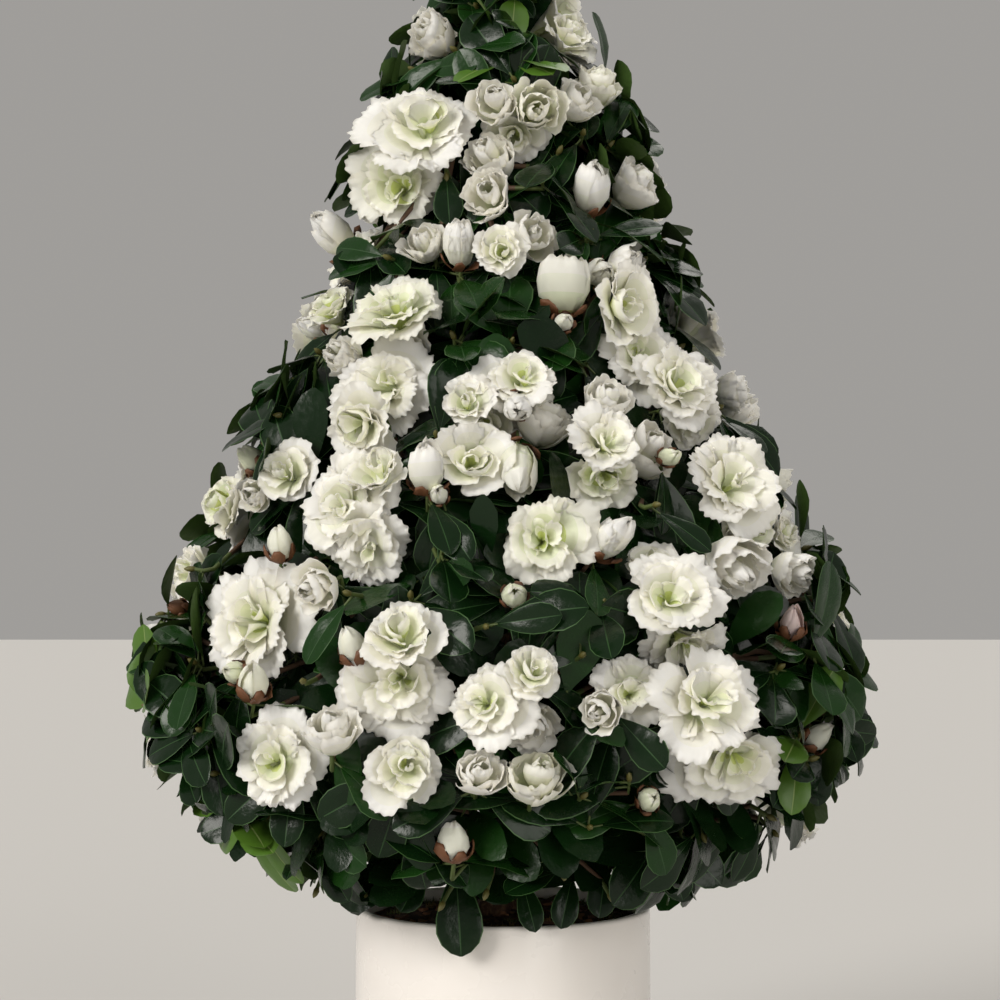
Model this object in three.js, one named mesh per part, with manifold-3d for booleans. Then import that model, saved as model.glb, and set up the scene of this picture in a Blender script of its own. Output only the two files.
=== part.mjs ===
// A white azalea trained as a pyramid, in a plain white glazed pot.
// One short woody stem rises from the root ball through the whole crown. Boughs leave it in tiers,
// and each bough carries one mass of twigs, leathery leaves and double flowers. The last mass sits
// on the stem's tip. Lengths are in millimetres, +Z is up, and the origin is the middle of the
// pot's flat underside. The front of the plant faces -Y, and angles round the crown start there.
import * as THREE from "three";
import { mergeVertices } from "three/addons/utils/BufferGeometryUtils.js";
import Module from "manifold-3d";

const wasm = await Module();
wasm.setup();

const CLEARANCE = 0.3; // air between two pieces that meet

// The pot: a straight cylinder with a rounded lip, filled nearly to the brim.
const POT_RADIUS = 80;
const POT_HEIGHT = 158;
const POT_WALL = 5;
const POT_FLOOR = 7;
const LIP_ROUND = 2.2;
const FOOT_ROUND = 3;
const POT_SIDES = 32;

// The root ball: it fills the pot, and its top is mounded, with a flat round the stem.
const SOIL_AT_WALL = 151;
const SOIL_AT_STEM = 156;
const SOIL_FLAT_RADIUS = 27;

// The stem: root flare, taper and a slight wander, up to where the top mass begins.
const STEM_FOOT = SOIL_AT_STEM + CLEARANCE;
const STEM_TOP = 588;
const STEM_RADIUS_LOW = 8.5;
const STEM_RADIUS_TOP = 2.6;
const FLARE_WIDTH = 8;
const FLARE_HEIGHT = 8;
const FLARE_ROOTS = 4;
const STEM_WANDER = 3.5;
const STEM_SIDES = 8;

// The crown's outline: how far the foliage reaches from the stem's line at each height.
const OUTLINE = [
  [160, 96], [180, 142], [205, 172], [240, 196], [275, 204], [330, 191], [380, 167],
  [435, 138], [490, 113], [550, 96], [605, 76], [655, 50], [692, 31], [718, 14],
];
const CROWN_TOP = 718;

// Tiers of masses round the stem. The turn is the angle of the first mass of a tier.
const TIERS = [
  { name: "skirt", low: 190, high: 245, masses: 5, turn: 0, boughRadius: 4.6 },
  { name: "low", low: 245, high: 330, masses: 5, turn: 36, boughRadius: 4.6 },
  { name: "middle", low: 330, high: 415, masses: 5, turn: -20, boughRadius: 4.2 },
  { name: "high", low: 415, high: 500, masses: 4, turn: 30, boughRadius: 3.6 },
  { name: "upper", low: 500, high: 588, masses: 3, turn: -32, boughRadius: 3 },
];
const BOUGH_REACH = 0.4; // share of the crown's radius at which a bough enters its mass
const BOUGH_FALL = 0.62; // how far below its tip a bough starts, as a share of its reach
const BOUGH_STEP = 7; // boughs of a tier leave the stem at different heights, in these steps
const LOWEST_BOUGH = 20; // above the stem's foot
const BOUGH_TIP_SHARE = 0.6; // of its radius at the stem
const BOUGH_TIP_BELOW = 6; // it enters a little below its mass's middle
const MASS_STEM_BEND = 8; // a mass's stem runs this far on along its bough before it bends
const ROOT_REACH = 0.56; // share of the crown's radius where a mass's stem ends and its twigs start

// Cores: the dense inside of each mass, rounded, as shares of the crown's radius.
const CORE_MIDDLE = 0.62;
const CORE_HALF = 0.15;
const CORE_SIDE_GAP = 4;
const CORE_BOXINESS = 0.7;
const CORE_CLEAR = 3; // other masses' leaves stay this far off a core
const TOP_CORE_LOW = STEM_TOP + 8;
const TOP_CORE_HIGH = CROWN_TOP - 50;
const TOP_ROOT_BELOW = 8; // the top mass forks this far below its core's middle

// Twigs: three-sided, with a swollen end bud that leaves and flowers spring from.
const TWIG_BASE = 1.7;
const TWIG_MIDDLE = 1.4;
const END_RADIUS = 2.4; // of the swollen end that leaves and a flower spring from
const END_HEIGHT = 3;
const END_TIP = 6;
const SMALLEST_BEND = 0.35; // least cosine between a leaf or flower and where it springs from
const TWIG_FORK = 0.3; // share of its way at which later twigs may fork off one
const TWIG_ARCH = 0.06;
const TWIG_BALL_STEP = 5;
const NEAR_ROOT_WEIGHT = 0.8;

// Leaves: blunt ovals in whorls at the twig ends, a little larger than life. Five stand round a
// leafy end, and three under a flower.
const LEAF_LENGTH = 46;
const LEAF_SHORTEST = 0.8; // leaves vary from this share of the length up by the next share
const LEAF_SPREAD = 0.35;
const LEAF_BREADTH = 0.48; // of the length
const LEAF_WIDEST = 0.6; // of the length, from the base
const LEAF_THICK = 1.4;
const LEAF_ARCH = 0.09;
const LEAF_DROOP = 0.3;
const LEAF_STRAY = 0.5;
const WHORL_LEAVES = 5;
const LEAVES_UNDER_FLOWER = 3;
const OPEN_WHORL = 52; // least angle between a whorl's leaves and its twig, in degrees
const OPEN_UNDER_FLOWER = 82;
const OPEN_PEAK = 8;
const OPEN_SPREAD = 26;
const PEAK_LEAVES = 36; // from the topmost whorl to the crown's top
const GOLDEN_ANGLE = 137.5;
const LEAF_BALL = 4.6; // radius of the balls that stand for a leaf
const LEAF_SPOTS = [
  [0.22, [0]], [0.42, [-0.3, 0, 0.3]], [0.62, [-0.3, 0, 0.3]], [0.8, [-0.2, 0.2]], [0.97, [0]],
]; // where those balls lie along a leaf, and across it
const LEAF_TRIES = 6;
const LEAF_SQUEEZE = 0.7; // leaves of one mass may come this much closer than leaves of two
const END_TURNS = 8;
const STEM_CLEAR = 16; // leaves and flowers stay this far from the stem's line

// Flowers by stage. Depth is from the base to the middle of the face, as a share of the breadth.
const FULL = { petals: 5, depth: 0.36 };
const OPEN = { petals: 5, depth: 0.44 };
const HALF = { depth: 0.62 };
const TULIP = { depth: 0.8 };
const BUD = { depth: 0.8 };
const NOTCH_IN = 0.2; // how far the notches between petals reach in, of the radius
const NOTCH_DROP = 0.12; // and how far they lie back, of the breadth
const BUD_SPOTS = [0.4, 0.8, 1.1]; // heights of the balls that stand for a bud, of the breadth
const CROWN_RISE = 0.14; // how far the inner petals stand up, of the breadth
const FLOWER_SINK = 14; // a flower's face stands this far inside the leaf tips' outline
const FLOWER_SIZES = [1, 0.9, 0.8, 0.7, 0.6, 0.5]; // shares of its breadth that are tried in turn
const FLOWER_SQUEEZE = 0.55; // flowers of one mass may come this much closer
const FRONT_TURN = 0.75; // the front flowers turn this share of the way from facing the viewer
const FLOWER_LIFT = 12; // degrees above level that most flowers face
const SMALLEST_BREADTH = 19; // smaller buds are left out of the solids

// The front flowers: across from the stem's line, height, breadth, stage, then for some of them
// how far they turn to the side and lift from level, in degrees.
const FRONT_FLOWERS = [
  [38, 634, 34, OPEN, 45, 40], [-40, 632, 28, HALF], [52, 605, 26, HALF, 20, 50],
  [40, 590, 24, HALF, 30, 30], [-5, 585, 26, HALF, -10, 15], [18, 582, 30, HALF, 10, 0],
  [6, 566, 36, OPEN, 0, -20], [-48, 576, 50, FULL, -15, 20], [-54, 545, 56, FULL, -10, 0],
  [-8, 552, 28, HALF, -30, 30], [-9, 532, 28, HALF, -15, 10], [47, 541, 22, TULIP, 15, 60],
  [73, 548, 28, HALF, 50, 35], [-98, 530, 24, TULIP, -60, 35], [-41, 508, 24, HALF, -25, 30],
  [-22, 507, 20, TULIP, 0, 65], [-2, 502, 30, OPEN, 0, 10], [17, 510, 26, HALF, 15, 10],
  [31, 487, 26, TULIP, 5, 70], [50, 491, 18, TULIP, 10, 0], [65, 498, 22, TULIP, 30, 20],
  [67, 476, 46, OPEN, 35, 0], [-92, 481, 32, OPEN, -40, 50], [-106, 474, 16, TULIP, -60, 20],
  [-56, 473, 52, FULL, -20, 50], [-51, 450, 36, OPEN, -20, -10], [-84, 448, 22, HALF, -45, 20],
  [-60, 426, 56, FULL, -15, 5], [-72, 409, 42, OPEN, -25, -15], [7, 431, 42, FULL, 0, 30],
  [-17, 422, 30, OPEN, -10, 25], [7, 415, 16, TULIP, 0, -20], [-8, 410, 38, OPEN, -5, 10],
  [-15, 392, 40, OPEN, 10, 10], [-37, 389, 20, TULIP, -5, 70], [7, 383, 22, TULIP, 0, -50],
  [22, 411, 30, HALF, 35, 45], [50, 401, 42, FULL, 20, 20], [47, 379, 34, OPEN, 5, -20],
  [52, 423, 28, HALF, 20, 40], [21, 352, 46, FULL, 0, 0], [53, 354, 20, TULIP, 60, 45],
  [-153, 375, 38, OPEN, -50, 5], [-127, 376, 18, HALF, -20, 0], [-109, 389, 32, OPEN, -20, 20],
  [-136, 401, 15, BUD, -60, 40], [-74, 371, 52, FULL, -20, 15], [-67, 348, 48, FULL, -15, -20],
  [-63, 386, 36, OPEN, -20, 45], [-110, 353, 15, BUD, -20, 70], [-90, 328, 24, HALF, -30, -10],
  [-120, 312, 66, FULL, -25, 15], [-119, 286, 16, BUD, 0, 60], [-47, 308, 38, OPEN, -10, 40],
  [-50, 284, 54, FULL, -5, -5], [-71, 303, 15, BUD, -40, 60], [-7, 276, 40, FULL, -15, 15],
  [14, 290, 28, OPEN, 15, 20], [12, 264, 26, HALF, 20, -35], [-11, 245, 24, HALF, 10, 35],
  [15, 242, 30, HALF, 10, 40], [-47, 243, 38, OPEN, 0, 5], [-80, 265, 26, HALF, 0, 60],
  [-106, 247, 48, FULL, -15, 5], [-23, 214, 17, BUD, 0, 70], [59, 282, 38, FULL, 5, 10],
  [44, 272, 20, HALF, -20, 0], [82, 326, 46, FULL, 5, 20], [69, 342, 30, OPEN, -10, 50],
  [85, 300, 44, FULL, 25, -40], [96, 273, 54, FULL, 20, 15], [105, 242, 52, FULL, 10, -25],
  [116, 381, 56, FULL, 25, 15], [125, 360, 36, OPEN, 30, -20], [146, 357, 28, OPEN, 50, 10],
  [148, 336, 24, HALF, 50, -25], [115, 337, 36, HALF, 35, -30], [93, 435, 50, FULL, 35, 25],
  [73, 445, 44, FULL, 15, 15], [128, 434, 30, HALF, 60, 50], [95, 412, 36, OPEN, 25, -30],
  [72, 397, 30, HALF, 30, 35], [143, 315, 15, BUD, 40, 75], [160, 256, 15, BUD, 50, 35],
];

// The sides and the back carry flowers in rows, seeded, about as close as at the front.
const SIDE_SEED = 4711;
const SIDE_ROWS = { low: 212, high: 690, step: 44, spacing: 56 };
const FRONT_HALF_ANGLE = 76; // the front flowers cover this much to each side of the front
const SIDE_JITTER = 11;
const SIDE_EMPTY = 0.2;
const SIDE_HIGHEST = 655; // above this height the rows go all the way round
const SIDE_STAGES = [[0.3, FULL, 52], [0.55, OPEN, 38], [0.8, HALF, 27], [1, TULIP, 20]];
const SIDE_SIZES = { least: 0.88, spread: 0.3 };
const SIDE_LIFTS = { least: -2, spread: 40 };
const SIDE_TURNS = { least: -25, spread: 50 };

// Leafy twig ends fill in between the flowers, in rows.
const SHOOT_SEED = 977;
const SHOOT_ROWS = { low: 189, high: 700, step: 37, spacing: 46 };
const SHOOT_JITTER = 8;
const SHOOT_SINK = 20;
const SHOOT_CLEAR = 0.62; // of a flower's breadth, plus the next value
const SHOOT_CLEAR_MORE = 8;
const SKIRT_HANG = 215; // below this height leaves hang
const HANG = 0.8;
const SKIRT_LIFT = -58;
const UNDERHANG = 24; // under the skirt every other whorl stands this much further in
const SKIRT_LEAF = 0.82; // length of the hanging leaves, of the usual one
const LOWEST_LEAF = 152;

const UP = new THREE.Vector3(0, 0, 1);
const radians = THREE.MathUtils.degToRad;
const degrees = THREE.MathUtils.radToDeg;

// A seeded run of numbers from 0 to 1.
function seeded(seed) {
  let state = seed;
  return () => {
    state = (state * 16807) % 2147483647;
    return state / 2147483647;
  };
}

function crownRadius(height) {
  const last = OUTLINE.length - 1;
  if (height <= OUTLINE[0][0]) return OUTLINE[0][1];
  if (height >= OUTLINE[last][0]) return OUTLINE[last][1];
  const i = OUTLINE.findIndex(([h]) => h > height);
  const [lowHeight, lowRadius] = OUTLINE[i - 1];
  const [highHeight, highRadius] = OUTLINE[i];
  const share = (height - lowHeight) / (highHeight - lowHeight);
  return lowRadius + (highRadius - lowRadius) * share;
}

// The direction away from the stem at an angle in degrees, tilted up from level.
function outward(angle, lift = 0) {
  const level = Math.cos(radians(lift));
  const turn = radians(angle);
  return new THREE.Vector3(Math.sin(turn) * level, -Math.cos(turn) * level, Math.sin(radians(lift)));
}

function place(angle, radius, height) {
  return outward(angle).multiplyScalar(radius).setZ(height);
}

const angleOf = (point) => degrees(Math.atan2(point.x, -point.y));
const wrapped = (angle) => angle - 360 * Math.round(angle / 360);

// A solid from rings of points. The first and last may be single points. On the band above ring
// number `leafy`, a leaf takes the place of the side that has its number.
function loft(rings, leaves = [], leafy = -1) {
  const points = rings.flat();
  const triangles = [];
  let start = 0;
  for (let r = 0; r + 1 < rings.length; r++) {
    const lower = rings[r].length;
    const upper = rings[r + 1].length;
    const low = (i) => start + (i % lower);
    const high = (j) => start + lower + (j % upper);
    const done = { low: lower > 1 ? lower : 0, high: upper > 1 ? upper : 0 };
    for (let i = 0, j = 0; i < done.low || j < done.high; ) {
      if (r === leafy && i === j && leaves[i]) {
        triangles.push(...leafFaces([low(i), low(i + 1), high(i), high(i + 1)], points.length));
        points.push(...leaves[i].corners);
        i++;
        j++;
      } else if (i < done.low && (j >= done.high || (i + 1) / lower <= (j + 1) / upper)) {
        triangles.push(low(i), low(i + 1), high(j));
        i++;
      } else {
        triangles.push(low(i), high(j + 1), high(j));
        j++;
      }
    }
    start += lower;
  }
  for (let i = 1; i + 1 < rings[0].length; i++) triangles.push(0, i + 1, i);
  for (let i = 1; i + 1 < rings[rings.length - 1].length; i++) {
    triangles.push(start, start + i, start + i + 1);
  }
  return solidFrom(points, triangles);
}

// A leaf stands out of a four-cornered side. Its own corners are left, right, tip and top.
function leafFaces([a, b, c, d], first) {
  const [left, right, tip, top] = [first, first + 1, first + 2, first + 3];
  return [
    [a, b, right], [a, right, left], [left, right, tip], [b, d, right], [d, top, right],
    [right, top, tip], [d, c, top], [c, left, top], [c, a, left], [left, tip, top],
  ].flat();
}

function solidFrom(points, triangles) {
  const vertProperties = new Float32Array(points.flatMap((p) => [p.x, p.y, p.z]));
  return new wasm.Manifold(
    new wasm.Mesh({ numProp: 3, vertProperties, triVerts: new Uint32Array(triangles) }),
  );
}

function solidOfGeometry(geometry) {
  geometry.deleteAttribute("normal");
  geometry.deleteAttribute("uv");
  const merged = mergeVertices(geometry, 1e-3);
  return new wasm.Manifold(
    new wasm.Mesh({
      numProp: 3,
      vertProperties: merged.attributes.position.array,
      triVerts: new Uint32Array(merged.index.array),
    }),
  );
}

function geometryOf(solid) {
  const { vertProperties, triVerts, numProp, numVert } = solid.getMesh();
  const position = new Float32Array(numVert * 3);
  for (let i = 0; i < numVert; i++) {
    position.set(vertProperties.subarray(i * numProp, i * numProp + 3), i * 3);
  }
  const geometry = new THREE.BufferGeometry();
  geometry.setAttribute("position", new THREE.BufferAttribute(position, 3));
  geometry.setIndex(new THREE.BufferAttribute(new Uint32Array(triVerts), 1));
  return geometry;
}

// Joins solids and keeps the one body: loose scraps are dropped, and sealed hollows are filled.
function fused(solids) {
  let solid = wasm.Manifold.union(solids);
  for (let bodies = solid.decompose(); bodies.length > 1; bodies = solid.decompose()) {
    const largest = bodies.reduce((best, body) => (body.volume() > best.volume() ? body : best));
    solid = solidOfGeometry(geometryOf(largest));
  }
  return solid;
}

// A ring of points round a centre, across a direction. Its first point is to the side that is given.
function ringAt(centre, direction, radius, sides, side) {
  const across = side.clone();
  if (across.lengthSq() < 1e-3) across.set(1, 0, 0);
  across.addScaledVector(direction, -across.dot(direction)).normalize();
  const other = new THREE.Vector3().crossVectors(direction, across);
  return Array.from({ length: sides }, (_, i) => {
    const turn = (2 * Math.PI * i) / sides;
    const reach = typeof radius === "function" ? radius(turn) : radius;
    return centre
      .clone()
      .addScaledVector(across, Math.cos(turn) * reach)
      .addScaledVector(other, Math.sin(turn) * reach);
  });
}

// A tapering limb through points, one radius for each.
function limb(path, radii, sides) {
  const last = path.length - 1;
  const side = new THREE.Vector3().subVectors(path[last], path[0]).cross(UP);
  return loft(
    path.map((point, i) => {
      const along = new THREE.Vector3()
        .subVectors(path[Math.min(i + 1, last)], path[Math.max(i - 1, 0)])
        .normalize();
      return ringAt(point, along, radii[i], sides, side);
    }),
  );
}

// The pot and the root ball

function potSolid() {
  const inner = POT_RADIUS - POT_WALL;
  const profile = [
    [0, 0],
    [POT_RADIUS - FOOT_ROUND, 0],
    [POT_RADIUS, FOOT_ROUND],
    [POT_RADIUS, POT_HEIGHT - LIP_ROUND],
    [POT_RADIUS - LIP_ROUND, POT_HEIGHT],
    [inner + LIP_ROUND, POT_HEIGHT],
    [inner, POT_HEIGHT - LIP_ROUND],
    [inner, POT_FLOOR],
    [0, POT_FLOOR],
  ];
  return turned(profile, POT_SIDES);
}

function rootBallSolid() {
  const radius = POT_RADIUS - POT_WALL - CLEARANCE * 2;
  const bottom = POT_FLOOR + CLEARANCE;
  const half = (SOIL_FLAT_RADIUS + radius) / 2;
  const profile = [
    [0, bottom],
    [radius, bottom],
    [radius, SOIL_AT_WALL],
    [half, (SOIL_AT_WALL + SOIL_AT_STEM) / 2 + 1],
    [SOIL_FLAT_RADIUS, SOIL_AT_STEM],
    [0, SOIL_AT_STEM],
  ];
  return turned(profile, POT_SIDES);
}

// A profile of [radius, height] pairs, from the axis back to the axis, turned about Z.
function turned(profile, sides) {
  const geometry = new THREE.LatheGeometry(
    profile.map(([radius, height]) => new THREE.Vector2(radius, height)),
    sides,
  );
  geometry.rotateX(Math.PI / 2);
  return solidOfGeometry(geometry);
}

// The stem

function stemPoint(height) {
  const risen = Math.max(0, height - STEM_FOOT);
  return new THREE.Vector3(
    STEM_WANDER * Math.sin(risen / 85),
    STEM_WANDER * Math.sin(risen / 120) * 0.8,
    height,
  );
}

function stemRadius(height) {
  const share = (height - STEM_FOOT) / (STEM_TOP - STEM_FOOT);
  return STEM_RADIUS_LOW + (STEM_RADIUS_TOP - STEM_RADIUS_LOW) * share;
}

function stemSolid(more = 0) {
  const rises = [0, 3, 8, 16, 30, 70, 130, 190, 250, 310, 370, STEM_TOP - STEM_FOOT];
  const rings = rises.map((rise) => {
    const height = STEM_FOOT + rise;
    const flare = FLARE_WIDTH * Math.exp(-rise / FLARE_HEIGHT);
    const reach = (turn) =>
      more + stemRadius(height) + flare * (1 + 0.45 * Math.cos(FLARE_ROOTS * turn));
    return ringAt(stemPoint(height), UP, reach, STEM_SIDES, new THREE.Vector3(1, 0, 0));
  });
  return loft(rings);
}

// Masses and their boughs

const masses = TIERS.flatMap((tier) =>
  Array.from({ length: tier.masses }, (_, i) => {
    const angle = wrapped(tier.turn + (360 * i) / tier.masses);
    const middle = (tier.low + tier.high) / 2;
    const tip = place(angle, BOUGH_REACH * crownRadius(middle), middle - BOUGH_TIP_BELOW);
    const fall = BOUGH_FALL * Math.hypot(tip.x, tip.y) + BOUGH_STEP;
    const step = BOUGH_STEP * ((2 * i) % tier.masses);
    const start = stemPoint(Math.max(tip.z - fall, STEM_FOOT + LOWEST_BOUGH) + step);
    const knee = start.clone().lerp(tip, 0.55).setZ(start.z + 0.38 * (tip.z - start.z));
    const root = place(angle, ROOT_REACH * crownRadius(middle), middle);
    return {
      name: tier.name + "_" + (i + 1),
      angle,
      halfAngle: 180 / tier.masses,
      low: tier.low,
      high: tier.high,
      boughRadius: tier.boughRadius,
      bough: new THREE.QuadraticBezierCurve3(start, knee, tip),
      root,
    };
  }),
);
const topMass = {
  name: "top",
  low: TOP_CORE_LOW,
  high: TOP_CORE_HIGH,
  root: stemPoint(STEM_TOP).setZ((TOP_CORE_LOW + TOP_CORE_HIGH) / 2 - TOP_ROOT_BELOW),
};
masses.push(topMass);

function massAt(angle, height) {
  if (height >= STEM_TOP) return topMass;
  const tier = [...TIERS].reverse().find((t) => height >= t.low) ?? TIERS[0];
  return masses
    .filter((mass) => mass.low === tier.low)
    .reduce((best, mass) =>
      Math.abs(wrapped(angle - mass.angle)) < Math.abs(wrapped(angle - best.angle)) ? mass : best,
    );
}

// A bough: one tapering limb, cut to fit the stem it leaves.
function boughSolid(mass) {
  const steps = 2;
  const path = mass.bough.getPoints(steps);
  const radii = path.map((_, i) => mass.boughRadius * (1 - (1 - BOUGH_TIP_SHARE) * (i / steps)));
  return fused([limb(path, radii, 5).subtract(stemSleeve)]);
}

// How far a point is inside a mass's core: under 1 is inside.
function coreMeasure(mass, point, grow = 0) {
  const height = (mass.low + mass.high) / 2;
  const up = (point.z - height) / ((mass.high - mass.low) / 2 - CORE_SIDE_GAP + grow);
  const reach = Math.hypot(point.x, point.y);
  const crown = crownRadius(point.z);
  if (mass === topMass) {
    return coreNorm(reach / (CORE_MIDDLE * crown + grow), up, 0);
  }
  const sideways = radians(wrapped(angleOf(point) - mass.angle)) * reach;
  const halfSide = radians(mass.halfAngle) * reach - CORE_SIDE_GAP + grow;
  const out = (reach - CORE_MIDDLE * crown) / (CORE_HALF * crown + grow);
  return coreNorm(sideways / halfSide, up, out);
}

function coreNorm(...shares) {
  return shares.reduce((sum, share) => sum + Math.abs(share) ** (2 / CORE_BOXINESS), 0);
}

function coreSolid(mass) {
  const ball = new THREE.OctahedronGeometry(1, 1);
  const position = ball.getAttribute("position");
  const spread = (share) => Math.sign(share) * Math.abs(share) ** CORE_BOXINESS;
  for (let i = 0; i < position.count; i++) {
    const [side, out, up] = [position.getX(i), position.getY(i), position.getZ(i)].map(spread);
    const middle = (mass.low + mass.high) / 2;
    const height = middle + up * ((mass.high - mass.low) / 2 - CORE_SIDE_GAP);
    const crown = crownRadius(height);
    let point;
    if (mass === topMass) {
      point = new THREE.Vector3(side, -out, 0).multiplyScalar(CORE_MIDDLE * crown).setZ(height);
    } else {
      const reach = crown * (CORE_MIDDLE + CORE_HALF * out);
      const halfSide = mass.halfAngle - degrees(CORE_SIDE_GAP / reach);
      point = place(mass.angle + side * halfSide, reach, height);
    }
    position.setXYZ(i, point.x, point.y, point.z);
  }
  const solid = solidOfGeometry(ball);
  return solid.volume() > 0 ? solid : solidTurnedOut(solid);
}

// The same solid with its faces turned round.
function solidTurnedOut(solid) {
  const mesh = solid.getMesh();
  const triVerts = mesh.triVerts.slice();
  for (let i = 0; i < triVerts.length; i += 3) {
    [triVerts[i + 1], triVerts[i + 2]] = [triVerts[i + 2], triVerts[i + 1]];
  }
  return new wasm.Manifold(
    new wasm.Mesh({ numProp: mesh.numProp, vertProperties: mesh.vertProperties, triVerts }),
  );
}

// Twig ends: one for each flower, and leafy ones between

function flowerEnd([across, height, breadth, stage, turn, lift = FLOWER_LIFT]) {
  const reach = Math.max(crownRadius(height) - FLOWER_SINK, Math.abs(across));
  const angle = degrees(Math.asin(across / reach));
  const axis = outward(turn ?? angle * FRONT_TURN, lift);
  return makeFlowerEnd(place(angle, reach, height), axis, breadth, stage);
}

function makeFlowerEnd(face, axis, breadth, stage) {
  const point = face.clone().addScaledVector(axis, -stage.depth * breadth);
  const mass = massAt(angleOf(face), face.z);
  return { mass, point, axis, face, breadth, stage, open: OPEN_UNDER_FLOWER };
}

// Cells of equal size round the crown, row by row, each with its own chance.
function* cells(rows, random, jitter) {
  for (let height = rows.low, row = 0; height < rows.high; height += rows.step, row++) {
    const count = Math.max(3, Math.round((2 * Math.PI * crownRadius(height)) / rows.spacing));
    for (let i = 0; i < count; i++) {
      const shift = (random() - 0.5) * 2 * jitter;
      const rise = (random() - 0.5) * 2 * jitter;
      const angle = (360 * (i + (row % 2) / 2)) / count + degrees(shift / crownRadius(height));
      const [chance, other, odd] = [random(), random(), i % 2 === 1];
      yield { angle: wrapped(angle), height: height + rise, chance, other, odd };
    }
  }
}

function sideFlowerEnds() {
  const random = seeded(SIDE_SEED);
  const within = ({ least, spread }) => least + spread * random();
  const ends = [];
  for (const { angle, height, chance, other } of cells(SIDE_ROWS, random, SIDE_JITTER)) {
    const unseen = Math.abs(angle) > FRONT_HALF_ANGLE || height > SIDE_HIGHEST;
    if (!unseen || chance < SIDE_EMPTY) continue;
    const [, stage, breadth] = SIDE_STAGES.find(([limit]) => other <= limit);
    const face = place(angle, crownRadius(height) - FLOWER_SINK, height);
    const axis = outward(angle + within(SIDE_TURNS), within(SIDE_LIFTS));
    ends.push(makeFlowerEnd(face, axis, breadth * within(SIDE_SIZES), stage));
  }
  return ends;
}

function shootEnds(flowers) {
  const ends = [];
  for (const cell of cells(SHOOT_ROWS, seeded(SHOOT_SEED), SHOOT_JITTER)) {
    const inward = cell.height < SKIRT_HANG && cell.odd ? UNDERHANG : 0;
    const reach = crownRadius(cell.height) - SHOOT_SINK * (0.6 + 0.8 * cell.chance) - inward;
    const point = place(cell.angle, Math.max(reach, 4), cell.height);
    const crowded = flowers.some((flower) => {
      const clear = SHOOT_CLEAR * flower.breadth + SHOOT_CLEAR_MORE;
      return flower.face.distanceTo(point) < clear;
    });
    if (crowded) continue;
    const lift = cell.height < SKIRT_HANG ? SKIRT_LIFT : 15 + 25 * cell.other;
    const axis = outward(cell.angle + 30 * (cell.other - 0.5), lift);
    ends.push({ mass: massAt(cell.angle, cell.height), point, axis, open: OPEN_WHORL });
  }
  const peak = new THREE.Vector3(0, 0, CROWN_TOP - PEAK_LEAVES);
  ends.push({ mass: topMass, point: peak, axis: UP.clone(), open: OPEN_PEAK });
  return ends;
}

// Each end is joined to the nearest joint of its mass's growing twigs.
function growTwigs(mass, ends) {
  const joints = [mass.root];
  const twigs = [];
  const ordered = [...ends].sort(
    (a, b) => a.point.distanceTo(mass.root) - b.point.distanceTo(mass.root),
  );
  for (const end of ordered) {
    const cost = (joint) =>
      joint.distanceTo(end.point) + NEAR_ROOT_WEIGHT * joint.distanceTo(mass.root);
    const from = joints.reduce((best, joint) => (cost(joint) < cost(best) ? joint : best));
    const fork = from.clone().lerp(end.point, TWIG_FORK);
    fork.z += TWIG_ARCH * from.distanceTo(end.point);
    // No flower turns back over its own twig.
    const last = end.point.clone().sub(fork).normalize();
    if (last.dot(end.axis) < SMALLEST_BEND) end.axis.add(last).normalize();
    joints.push(fork);
    twigs.push({ from, fork, end });
  }
  return twigs;
}

// One twig, with the leaves and the flower that its swollen end carries.
function twigSolid({ from, fork, end }) {
  const last = end.point.clone().sub(fork).normalize();
  const rings = [
    ringAt(from, last, TWIG_BASE, 3, end.side),
    ringAt(fork, last, TWIG_MIDDLE, 3, end.side),
    ...endRings(end, end.side),
    ...(end.flower ? flowerRings(end.flower, end.side) : [[alongAxis(end, END_TIP)]]),
  ];
  return loft(rings, end.leaves, 2);
}

const alongAxis = (end, height) => end.point.clone().addScaledVector(end.axis, height);

function endRings(end, side) {
  const sides = end.stage ? LEAVES_UNDER_FLOWER : WHORL_LEAVES;
  return [0, END_HEIGHT].map((height) =>
    ringAt(alongAxis(end, height), end.axis, END_RADIUS, sides, side),
  );
}

// Leaves and flowers

// A leaf lies along a direction, with its upper side to the normal. It is arched and pointed.
function makeLeaf(base, along, across, length) {
  const side = across.clone().addScaledVector(along, -across.dot(along)).normalize();
  const leaf = { base, along, side, normal: along.clone().cross(side), length };
  const arch = LEAF_ARCH * length;
  leaf.corners = [
    onLeaf(leaf, LEAF_WIDEST, -0.5, arch),
    onLeaf(leaf, LEAF_WIDEST, 0.5, arch),
    onLeaf(leaf, 1, 0, -arch * 0.4),
    onLeaf(leaf, LEAF_WIDEST, 0, arch + LEAF_THICK),
  ];
  return leaf;
}

const onLeaf = (leaf, share, across, above) =>
  leaf.base
    .clone()
    .addScaledVector(leaf.along, share * leaf.length)
    .addScaledVector(leaf.side, across * leaf.length * LEAF_BREADTH)
    .addScaledVector(leaf.normal, above);

// Balls that stand for a leaf where its space is tested. Its root may lie inside its own core.
function leafBalls(leaf) {
  return LEAF_SPOTS.flatMap(([share, spread]) =>
    spread.map((across) => ({
      centre: onLeaf(leaf, share, across, LEAF_ARCH * leaf.length),
      radius: LEAF_BALL,
      free: share > LEAF_SPOTS[0][0],
    })),
  );
}

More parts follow.
